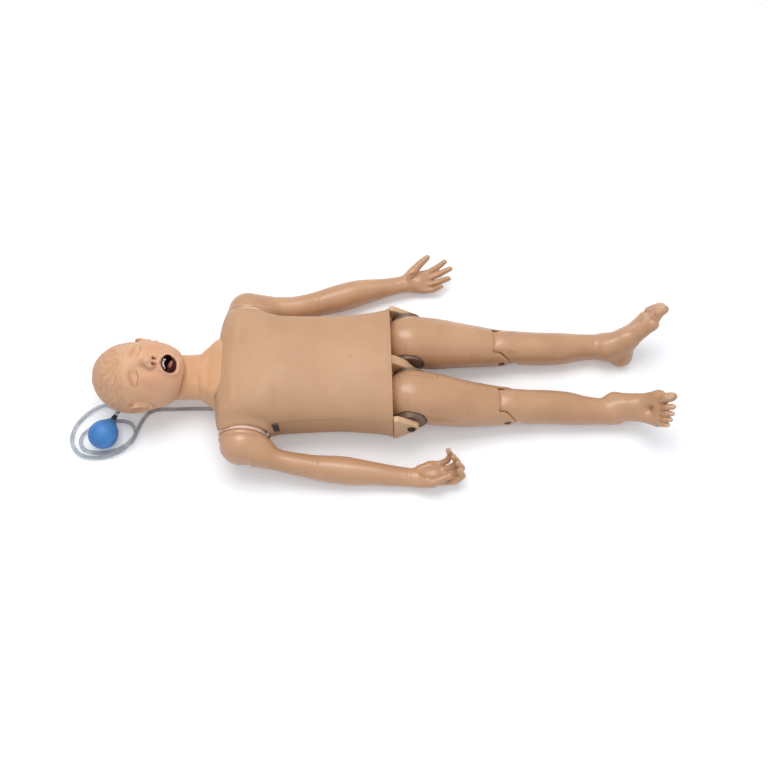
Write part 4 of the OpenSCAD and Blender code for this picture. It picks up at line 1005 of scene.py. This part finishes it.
def digit(clay, points, r0, r1, palm_side, blend):
    """A finger or toe with its nail and the creases of its joints."""
    points = np.array(points, float)
    radii = np.linspace(r0, r1, len(points))
    radii[-1] = r1 * 0.96
    clay.add(chain(points, radii), blend)
    along = unit(points[-1] - points[-2])
    inner = square_to(palm_side, along)
    turn = np.stack([along, np.cross(inner, along), -inner], 1)
    tip = points[-1]
    clay.add(egg(tip + inner * r1 * 0.1 + along * r1 * 0.25, (r1 * 0.95, r1 * 0.8, r1 * 0.8), turn), 1.5)
    nail_root = tip - inner * r1 * 0.98 - along * r1 * 0.62
    clay.cut(chain([nail_root + turn[:, 1] * r1 * t for t in (-0.5, 0, 0.5)], 0.5, 2), 0.7)
    clay.add(egg(tip - inner * r1 * 0.72 + along * r1 * 0.35, (r1 * 0.92, r1 * 0.62, r1 * 0.32), turn), 0.5)
    for k in range(1, len(points) - 1):
        forward = unit(points[k + 1] - points[k - 1])
        inward = square_to(palm_side, forward)
        across = np.cross(forward, inward)
        crease = [points[k] + inward * radii[k] * 0.98 + across * radii[k] * t for t in (-0.6, 0, 0.6)]
        clay.cut(chain(crease, 0.55, 2), 1.6)
        clay.add(egg(points[k] - inward * radii[k] * 0.35, (radii[k] * 0.9,) * 3), 2)
    return tip - inner * r1 * 0.9 + along * r1 * 0.35, r1


def nail_mark(points, nails):
    """One on each nail, over points; nails holds their middles and radii."""
    return sum(np.exp(-(np.linalg.norm(points - at, axis=1) / (r * 0.75)) ** 4) for at, r in nails)


def build_arm(side):
    rows = ARM_L if side > 0 else ARM_R
    hand = HAND_L if side > 0 else HAND_R
    wrist = WRIST[side]
    low = (-182, 132 if side > 0 else -240, -3)
    high = (318, 302 if side > 0 else -132, 124)
    clay = Clay(low, high, 1.25)
    clay.add(side_rod(side, SHOULDER, 43.5, ARM_FACE - 8, ARM_FACE + 7), 4)
    clay.add(egg(SHOULDER + [-1, side * (ARM_FACE + 16), -1], (41.5, 39, 41.5)), 10)
    clay.add(egg(SHOULDER + [34, side * (ARM_FACE + 24), -9], (30, 27, 27)), 16)
    clay.add(limb(rows, 6), 9)
    # Palm: rays from the wrist to each knuckle, with the ball of the thumb
    clay.add(egg(wrist, (14, 18, 13)), 8)
    for k in range(1, 5):
        root = np.array(hand[k][0], float)
        knuckle = np.array(hand[k][1], float)
        clay.add(chain([wrist + (root - wrist) * 0.2, root, knuckle], [11.5, 9.6, 8], 3), 7)
    thumb = np.array(hand[0], float)
    clay.add(chain([wrist, (wrist + thumb[1]) / 2 + [0, 0, 1], thumb[1]], [12, 12.5, 9.5], 3), 6)
    little = np.array(hand[4], float)
    clay.add(chain([wrist + [6, (little[0] - wrist)[1] * 0.7, 0], little[0]], [11, 9.5], 3), 6)
    middle = (np.array(hand[2][0]) + np.array(hand[3][0])) / 2
    clay.cut(egg(middle * 0.62 + wrist * 0.38 + [2, 0, 17], (17, 12, 8)), 6)
    nails = []
    for k in range(5):
        points = np.array(hand[k], float)
        palm_side = np.array([-0.1, -0.5 * side, 1]) if k == 0 else np.array([-0.25, 0, 1.0])
        if side < 0 and k > 0:
            palm_side = np.array([-1.0, 0.1, 0.4])
        nails.append(digit(clay, points, *FINGER_R[k], palm_side, 2.2))
    # Crease across the inside of the elbow, and the two wrist lines
    for x, size in ((18, 0.7), (rows[-3][0] + 8, 0.6), (rows[-3][0] + 14, 0.6)):
        row = [np.interp(x, [r[0] for r in rows], [r[k] for r in rows]) for k in range(5)]
        line = []
        for t in np.linspace(-0.75, 0.75, 7):
            y = row[1] + row[3] * t
            line.append((x + 2 * t * t, y, clay.top(x, y) + 0.35))
        clay.cut(chain(line, size, 2), 2.5)
    clay.keep(lambda x, y, z: ARM_FACE - side * y, 2)
    clay.keep(lambda x, y, z: 0.15 - z, 0.5)
    points, faces = clay.surface()
    name = SIDE_NAME[side]
    make(f"arm_moulding_{name}", points, faces, f"arm_{name}", [f"arm_{name}"], limb_finish,
         {"nail": nail_mark(points, nails)})


# Legs
HIP = np.array([201.0, 62, 80])
KNEE_X, KNEE_Y, KNEE_Z = 397, 67, 45
THIGH_L, SHANK_L = 196, 215
ANKLE_X = KNEE_X + SHANK_L
LEG_DRIFT = 0.021
HIP_GAP = 2
WEB_HALF = 10
BLOCK_R = 30
TONGUE_HIP = 30.4
TONGUE_HALF = 25
KNEE_R, KNEE_GAP, EAR_R, KNEE_EAR_OUT = 39.5, 1.5, 16, 33
KNEE_BOLT_R = 4
KNEE_ROUND = 7
TONGUE_R = (38, 39.4)
THIGH_ROWS = [
    [0, 0, 0, 51.5], [0.28, 0, 0.8, 52], [0.5, 2, -0.3, 48.5], [0.75, 1.5, -0.6, 43.5],
    [0.95, 0.2, 0, 39.5], [1.1, 0, 3.5, 37.5]]
SHANK_ROWS = [
    [-0.02, 0, 45, 37, 38.6], [0.08, 1, 44.6, 36.4, 37.4], [0.23, 1, 42.6, 35, 35.6],
    [0.40, 0.5, 40, 34.5, 35.5], [0.61, 2.5, 37, 33.5, 33], [0.77, 6, 34.5, 29, 29.5],
    [0.93, 8, 33.5, 26.5, 27.5], [1.0, 8, 34, 27.5, 28], [1.05, 6.5, 36, 27, 28], [1.10, 5, 36, 24, 25]]
# The fuller top of the thigh: its length, half width and how fast it falls along the thigh
FULL_L, FULL_HALF, HIP_FALL = 112, 50.5, -0.175
PAD_AT = np.array([217.0, -28, 113.5])
PAD_TURN = rotation(about_x=-37, about_y=7)
PAD_HALF = (39, 14)


def drift(x):
    return -LEG_DRIFT * min(x - HIP[0], 0.97 * (ANKLE_X - HIP[0]))


def knee_mid(side):
    return side * KNEE_Y + drift(KNEE_X)


def thigh_line(side):
    out = []
    for share, off_y, off_z, radius in THIGH_ROWS:
        x = HIP[0] + share * THIGH_L
        out.append([x, side * (HIP[1] + (KNEE_Y - HIP[1]) * min(1, share) + off_y) + drift(x),
                    HIP[2] + (KNEE_Z - HIP[2]) * share + off_z, radius, radius])
    return out


def shank_line(side):
    return [[KNEE_X + r[0] * SHANK_L, side * (KNEE_Y + r[1]) + drift(KNEE_X + r[0] * SHANK_L), *r[2:]]
            for r in SHANK_ROWS]


def thigh_body(clay, side):
    clay.add(egg((HIP[0], side * HIP[1], HIP[2]), (52, 52, 52)), 0.5)
    clay.add(limb(thigh_line(side)), 5)

    # Squarer top next to the hip, so that the thigh runs straight up to the hem
    def full(x, y, z):
        u = x - HIP[0]
        v = y - side * (HIP[1] + 0.045 * np.maximum(u, 0)) + LEG_DRIFT * np.clip(u, 0, FULL_L)
        w = z - HIP[2] - u * HIP_FALL
        fade = np.clip((u - 10) / 90, 0, 1)
        power = 2 + 0.9 * np.clip((u + 12) / 24, 0, 1) * (1 - fade)
        size = FULL_HALF - 5.5 * fade - 6 * np.clip((u - 85) / 27, 0, 1)
        section = (np.abs(v / size) ** power + np.abs(w / (size + 0.8)) ** power) ** (1 / power)
        back = np.minimum(u, 0) / 51
        return np.maximum(np.maximum((np.sqrt(section ** 2 + back ** 2) - 1) * size, -w), u - FULL_L)

    middle = np.array([HIP[0], side * HIP[1], HIP[2]])
    clay.add((full, middle - [52, 53, 25], middle + [FULL_L, 53, 53]), 9)
    for start, stop in ((-10, HIP[1] - TONGUE_HIP), (HIP[1] + TONGUE_HIP, HIP[1] + 80)):
        clay.cut(side_rod(side, HIP, BLOCK_R + 0.9, start, stop), 1.5)


def pad_gap(x, y, z, grow):
    """Distance to the outline of the injection pad, a rounded oblong that stands on the thigh."""
    p = (x - PAD_AT[0], y - PAD_AT[1], z - PAD_AT[2])
    u, v, w = [p[0] * PAD_TURN[0, k] + p[1] * PAD_TURN[1, k] + p[2] * PAD_TURN[2, k] for k in range(3)]
    qx, qy = np.abs(u) - PAD_HALF[0] + 5, np.abs(v) - PAD_HALF[1] + 5
    flat = np.hypot(np.maximum(qx, 0), np.maximum(qy, 0)) + np.minimum(np.maximum(qx, qy), 0) - 5 - grow
    return flat, w


def build_thigh(side):
    name = SIDE_NAME[side]
    y0, y1 = sorted((side * 6, side * 122))
    clay = Clay((144, y0, -4), (420, y1, 138), 1.3)
    thigh_body(clay, side)
    mid = knee_mid(side)

    def wedge(x, y, z):
        u, w = x - KNEE_X, z - KNEE_Z
        cone = np.maximum((u + np.abs(w) - EAR_R * math.sqrt(2)) / math.sqrt(2), u - EAR_R / math.sqrt(2))
        return np.minimum(cone, np.hypot(u, w) - EAR_R)

    clay.keep(wedge, 2.5)
    slot = TONGUE_HALF + 0.9
    knee = np.array([KNEE_X, mid, KNEE_Z])

    def slot_gap(x, y, z):
        u, w = x - KNEE_X, z - KNEE_Z
        reach = KNEE_R + KNEE_GAP
        open_part = np.minimum(np.minimum(np.hypot(u, w) - reach, -u), np.maximum(w, -u - reach))
        return soft_max(open_part, np.abs(y - mid) - slot, KNEE_ROUND)

    clay.cut((slot_gap, knee - [45, slot, 60], knee + [40, slot, 60]), 2)
    for end in (-1, 1):
        start, stop = sorted((mid + end * KNEE_EAR_OUT, mid + end * 80))
        clay.cut(rod(1, knee, KNEE_BOLT_R + 3.2, start, stop), 1)
    if side < 0:
        def pocket(x, y, z):
            flat, w = pad_gap(x, y, z, 0.5)
            return np.maximum(flat, -2 - w)
        clay.cut((pocket, PAD_AT - 42, PAD_AT + 42), 1)
    clay.keep(lambda x, y, z: 0.2 - z, 0.5)
    cast(clay, f"thigh_moulding_{name}", f"thigh_{name}", [f"thigh_{name}"], limb_finish)


def build_pad():
    """Injection pad, flush with the thigh that it is let into."""
    clay = Clay(PAD_AT - [44, 30, 30], PAD_AT + [44, 30, 26], 0.8)
    thigh_body(clay, -1)

    def outline(x, y, z):
        flat, w = pad_gap(x, y, z, 0)
        return np.maximum(flat, -1.7 - w)

    clay.keep(outline, 1.2)
    cast(clay, "pad_moulding", "thigh_right", ["thigh_pad"], limb_finish)


# Foot axes: along the sole, out of the instep and towards the other foot
FOOT_POINT, FOOT_OUT = degrees(21), degrees(22)
FOOT_DIR = np.array([math.sin(FOOT_POINT), math.cos(FOOT_POINT) * math.sin(FOOT_OUT),
                     math.cos(FOOT_POINT) * math.cos(FOOT_OUT)])
FOOT_UP = square_to(np.array([-1.0, 0, 0]), FOOT_DIR)
FOOT_IN = np.cross(FOOT_DIR, FOOT_UP)
HEEL_R = 21
FOOT_FROM = np.array([ANKLE_X + 47, KNEE_Y - 10, HEEL_R + 0.4]) - HEEL_R * (FOOT_DIR + FOOT_UP)
TOE_ROOTS = [[128, 12, 15], [130, 12, 1], [126, 11, -9], [120, 10, -17.5], [112, 9, -25]]
TOE_TIPS = [[154, 11, 18], [153, 9, 2.5], [147, 8, -8.5], [139, 7, -18], [129, 7, -26.5]]
# How far each foot's toes lie from where that direction takes them
FOOT_BEND = {1: np.array([0.0, 9, 6]), -1: np.array([-15.0, 9, -11])}
TOE_R = [[11, 9.5], [7.2, 6], [6.8, 5.6], [6.4, 5.4], [6.4, 5.4]]


def foot_at(p, q, r, side):
    bend = FOOT_BEND[side] * max(p, 0) / 154
    v = FOOT_FROM + p * FOOT_DIR + q * FOOT_UP + r * FOOT_IN * (1 if side > 0 else 1.24) + bend
    return np.array([v[0], side * v[1] + drift(v[0]), v[2]])


def foot_turn(side):
    flip = np.array([1, side, 1])
    return np.stack([FOOT_DIR * flip, FOOT_UP * flip, FOOT_IN * flip], 1)


def build_shank(side):
    name = SIDE_NAME[side]
    mid = knee_mid(side)
    y0, y1 = sorted((side * 14, side * 150))
    box = ((352, y0 - 12, -3), (732, y1, 186), 1.45)
    clay = Clay(*box)
    knee = np.array([KNEE_X, mid, KNEE_Z])
    clay.add(limb(shank_line(side)), 0.5)

    def behind(x, y, z):
        u, w = x - KNEE_X, z - KNEE_Z
        return np.minimum((u + w) / math.sqrt(2), np.hypot(u, w)) - EAR_R - KNEE_GAP

    clay.cut((behind, knee - [60, 80, 60], knee + [120, 80, 160]), 2.5)
    tongue = Clay(*box)
    tongue.add(rod(1, knee, KNEE_R - 0.2, mid - TONGUE_HALF - 8, mid + TONGUE_HALF + 8), 1)
    wide, high = TONGUE_R
    tongue.keep(lambda x, y, z: (np.hypot((y - mid) / wide, (z - KNEE_Z) / high) - 1) * wide, 3)
    tongue.keep(lambda x, y, z: np.abs(y - mid) - TONGUE_HALF, KNEE_ROUND)
    clay.field = soft_min(clay.field, tongue.field, 3)
    # Foot: heel, ankle with its two knobs, instep, ball and toes
    def at(p, q, r):
        return foot_at(p, q, r, side)

    turn = foot_turn(side)
    clay.add(chain([at(21, 21, 0), at(30, 58, -3)], [HEEL_R, 24.5], 1), 10)
    clay.add(chain([at(21, 21, 0), at(62, 32, 0)], [HEEL_R, 19], 1), 12)
    clay.add(chain([at(30, 58, -3), at(62, 35, 0)], [24.5, 20], 1), 16)
    clay.add(chain([at(45, 42, 0), at(70, 29, 6), at(118, 14, 17)], [22.5, 18.5, 13], 2), 12)
    clay.add(chain([at(45, 36, -5), at(74, 24, -12), at(108, 12, -21)], [20, 16.5, 11.5], 2), 12)
    clay.add(chain([at(118, 14, 17), at(118, 13, 0), at(106, 11, -21)], [12.5, 11.5, 10.5], 2), 8)
    clay.cut(egg(at(72, -2, 26), (26, 9, 14), turn), 8)
    clay.add(egg(at(33, 62, 16), (8, 8, 6), turn), 8)
    clay.add(chain([at(28, 66, 6), at(60, 44, 4)], [17, 14], 2), 14)
    clay.add(egg(at(28, 56, -23), (8, 8, 6), turn), 8)
    clay.add(chain([at(22, 34, -3), at(20, 60, -4)], [12, 9], 2), 10)
    nails = []
    for k in range(5):
        root, tip = TOE_ROOTS[k], TOE_TIPS[k]
        points = [at(root[0] - 14, root[1] + 2, root[2] * 0.95), at(root[0] + 6, root[1] + 1.5, root[2]),
                  at(root[0] * 0.4 + tip[0] * 0.6 + 1, root[1] + 2.2, (root[2] + tip[2]) / 2), at(*tip)]
        nails.append(digit(clay, points, *TOE_R[k], -turn[:, 1], 1.6))
    for k, size in ((1, 0.8), (2, 0.7), (3, 0.7), (4, 0.7)):
        a, b = TOE_ROOTS[k - 1], TOE_ROOTS[k]
        p, q, r = (np.array(a) + np.array(b)) / 2
        clay.cut(chain([at(p - 2, q + 10, r), at(p + 10, q + 4, r)], size, 2), 2)
    clay.keep(lambda x, y, z: 0.2 - z, 0.6)
    points, faces = clay.surface()
    make(f"leg_moulding_{name}", points, faces, f"lower_leg_{name}", [f"lower_leg_{name}"],
         limb_finish, {"nail": nail_mark(points, nails)})


# Pelvis: a rigid brief with round leg openings, flanges outside the hips and a web between
FLANGE_IN, FLANGE_OUT = 117, 130
PELVIS_ROWS = [
    [HEM_X - 70, FLANGE_IN - 7, 134], [HEM_X - 45, FLANGE_IN - 3, 136], [HEM_X - 12, FLANGE_IN + 2, 136],
    [HEM_X, FLANGE_IN + 4, 132], [HEM_X + 20, FLANGE_IN, 117], [HEM_X + 40, FLANGE_IN - 8, 94],
    [HEM_X + 51, FLANGE_IN - 24, 76], [HEM_X + 56, FLANGE_IN - 50, 58]]
HIP_FLEX = degrees(70)
# Wider than the part's own well, to clear the fuller thighs when they lift
WELL_R = 57


def build_pelvis():
    clay = Clay((90, -134, -1), (250, 134, 142), 1.6)
    rows = smooth(PELVIS_ROWS, 6)
    x, y, z = np.meshgrid(*clay.axes, indexing="ij", sparse=True)
    half, high = [np.interp(x, rows[:, 0], rows[:, k]) for k in (1, 2)]
    up = np.where(z > BODY_Z, np.maximum(high - BODY_Z, 8), 71)
    k0 = ((np.abs(y) / half) ** 3 + (np.abs(z - BODY_Z) / up) ** 3) ** (1 / 3)
    field = (k0 - 1) * np.minimum(half, up)
    field = np.maximum(field, np.maximum(rows[0, 0] - x, x - rows[-1, 0]))
    field = np.maximum(field, z - high)
    clay.field = np.maximum(field, 1.2 - z).astype(np.float32)
    for side in (-1, 1):
        def flange(x, y, z):
            u, w = x - HIP[0], z - HIP[2]
            body = np.hypot(u, w) - 15
            plate = np.maximum(-35.5 - u, u - 4)
            slope_up = u * 0.59 + w * 0.807 - 15
            slope_down = u * 0.70 - w * 0.714 - 15
            fan = np.maximum(np.maximum(slope_up, slope_down), plate)
            fan = np.maximum(fan, np.maximum(w - 38, -48 - w))
            shape = np.minimum(body, fan)
            middle = side * (FLANGE_IN + FLANGE_OUT) / 2
            return np.maximum(shape, np.abs(y - middle) - (FLANGE_OUT - FLANGE_IN) / 2)

        y0, y1 = sorted((side * FLANGE_IN, side * FLANGE_OUT))
        clay.add((flange, (160, y0, 28), (218, y1, 122)), 4)

        def room(x, y, z):
            u, v, w = x - HIP[0], side * y - HIP[1], z - HIP[2]
            ball = np.sqrt(u * u + v * v + w * w) - WELL_R
            lean = -u * math.sin(HIP_FLEX) + w * math.cos(HIP_FLEX) - WELL_R
            under = -(w + WELL_R + 0.25 * u) / 1.03
            behind = np.minimum(-u, -(w + 0.364 * u) / 1.064)
            slab = np.maximum(WEB_HALF - HIP[1] - v, v - (FLANGE_IN - HIP[1]))
            return np.minimum(ball, np.maximum(np.maximum(lean, slab), np.maximum(under, behind)))

        clay.cut((room, (130, -134 if side < 0 else 0, -4), (256, 0 if side < 0 else 134, 146)), 2)
        clay.cut(side_rod(side, HIP, BLOCK_R + HIP_GAP, WEB_HALF, FLANGE_IN), 1.5)
    cast(clay, "pelvis_moulding", "torso", ["pelvis"], torso_finish)


def build_bulb():
    """Squeeze bulb: a turned ball drawn out to a short neck, with a moulding seam."""
    sides, r = 96, 29
    profile = [[0.02, -r]]
    profile += [[r * math.cos(degrees(a)), r * math.sin(degrees(a))] for a in range(-80, 31, 10)]
    profile += [[r * 0.72, r * 0.74], [r * 0.48, r * 0.96], [r * 0.32, BULB_NECK - 2.5],
                [r * 0.27, BULB_NECK - 0.6], [r * 0.24, BULB_NECK], [0.02, BULB_NECK]]
    rows = smooth(profile, 5)
    a = np.linspace(0, 2 * math.pi, sides, endpoint=False)
    seam = np.exp(-(np.sin(a) / 0.035) ** 2)
    radius = rows[:, 0:1] + 0.35 * seam * np.clip(rows[:, 0:1] / 8, 0, 1)
    across = np.array([-bulb_axis[1], bulb_axis[0], 0])
    up = np.array([0, 0, 1.0])
    points = (BULB_AT + rows[:, 1][:, None, None] * bulb_axis
              + (radius * np.cos(a))[..., None] * across + (radius * np.sin(a))[..., None] * up)
    points = points.reshape(-1, 3)
    faces = loft_faces(len(rows), sides)[:, ::-1]
    # A darker blue line along the moulding seam
    crease = np.tile(np.exp(-(np.sin(a) / 0.05) ** 2) * 0.6, len(rows))
    return make("bulb_moulding", points, faces, "torso", ["pulse_bulb"], blue_finish,
                {"crease": crease})


build_head()
build_mouth()
build_neck()
build_chest()
for arm_side in (1, -1):
    build_arm(arm_side)
build_pelvis()
for leg_side in (1, -1):
    build_thigh(leg_side)
    build_shank(leg_side)
build_pad()
bulb = build_bulb()

# CAD nodes that stay as they are take a finish
node_finishes = {
    "mouth_red": (mouth_finish, ["mouth_lining"]),
    "steel": (steel_finish, ["head_pin", "neck_swivel", "neck_post", "shoulder_bolt_left",
                             "shoulder_bolt_right"]),
    "torso_plastic": (torso_finish, ["torso_shell"]),
    "white_plastic": (white_finish, ["chest_plate", "hip_bush_left", "hip_bush_right", "knee_bush_left",
                                     "knee_bush_right"]),
    "spring_steel": (spring_finish, ["chest_spring"]),
    "dark_plastic": (dark_finish, ["spring_seat", "side_strap_left", "side_strap_right", "tube_grommet"]),
    "bag_film": (bag_finish, ["lung_bag"]),
    "ring_plastic": (ring_finish, ["shoulder_ring_left", "shoulder_ring_right"]),
    "hip_brown": (hip_finish, ["hip_blocks_left", "hip_blocks_right"]),
    "dark_bolt": (bolt_finish, ["hip_bolt_left", "hip_bolt_right", "knee_bolt_left", "knee_bolt_right"]),
    "black_rubber": (rubber_finish, ["bulb_connector"])}
for slot_name, (node_finish, names) in node_finishes.items():
    for node_name in names:
        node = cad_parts[node_name]
        for used_slot in node.material_slots:
            used_slot.material = node_finish

# Floor, which keeps the shadow, and a white surround. The glow that only the camera sees
# brings the unshadowed floor up to white.
FLOOR_HALF = 9
FLOOR_Z = -0.0004
FLOOR_GLOW = 0.16
SURROUND_FILL = 0.68
WHITE = (1, 1, 1, 1)
floor_mesh = bpy.data.meshes.new("floor")
floor_corners = [(x * FLOOR_HALF, y * FLOOR_HALF, FLOOR_Z) for x, y in ((-1, -1), (1, -1), (1, 1), (-1, 1))]
floor_mesh.from_pydata(floor_corners, [], [(0, 1, 2, 3)])
floor = bpy.data.objects.new("floor", floor_mesh)
scene.collection.objects.link(floor)
f = Shader(bpy.data.materials.new("floor white"))
floor_seen = f.node("ShaderNodeLightPath").outputs["Is Camera Ray"]
floor_colour = f.mix(f.span(f.noise(3, 2), 0.3, 0.7), (0.86, 0.875, 0.9, 1), (0.88, 0.89, 0.91, 1))
floor_body = f.node("ShaderNodeBsdfDiffuse", {"Color": floor_colour})
floor_glow = f.node("ShaderNodeEmission", {"Color": WHITE, "Strength": f.times(floor_seen, FLOOR_GLOW)})
floor_sum = f.node("ShaderNodeAddShader", {0: floor_body.outputs[0], 1: floor_glow.outputs[0]})
f.node("ShaderNodeOutputMaterial", {"Surface": floor_sum.outputs[0]})
floor_mesh.materials.append(f.owner)

scene.world = bpy.data.worlds.new("surround")
w = Shader(scene.world)
world_seen = w.node("ShaderNodeLightPath").outputs["Is Camera Ray"]
world_fill = w.node("ShaderNodeBackground", {"Color": (0.93, 0.96, 1, 1), "Strength": SURROUND_FILL})
world_white = w.node("ShaderNodeBackground", {"Color": WHITE, "Strength": 1})
world_mix = w.node("ShaderNodeMixShader", {
    0: world_seen, 1: world_fill.outputs[0], 2: world_white.outputs[0]})
w.node("ShaderNodeOutputWorld", {"Surface": world_mix.outputs[0]})


def lamp(name, place, target, size, power, colour):
    data = bpy.data.lights.new(name, "AREA")
    data.shape = "RECTANGLE"
    data.size, data.size_y = size
    data.energy = power
    data.color = colour
    made = bpy.data.objects.new(name, data)
    made.location = place
    made.rotation_mode = "QUATERNION"
    made.rotation_quaternion = (Vector(target) - Vector(place)).to_track_quat("-Z", "Y")
    scene.collection.objects.link(made)


lamp("key", place=(0.0, 0.55, 2.3), target=(0.12, 0, 0), size=(1.8, 1.2), power=31,
     colour=(1, 0.985, 0.965))
lamp("strip", place=(0.3, -0.55, 1.5), target=(0.2, -0.05, 0.05), size=(1.4, 0.12), power=1.6,
     colour=(1, 1, 1))
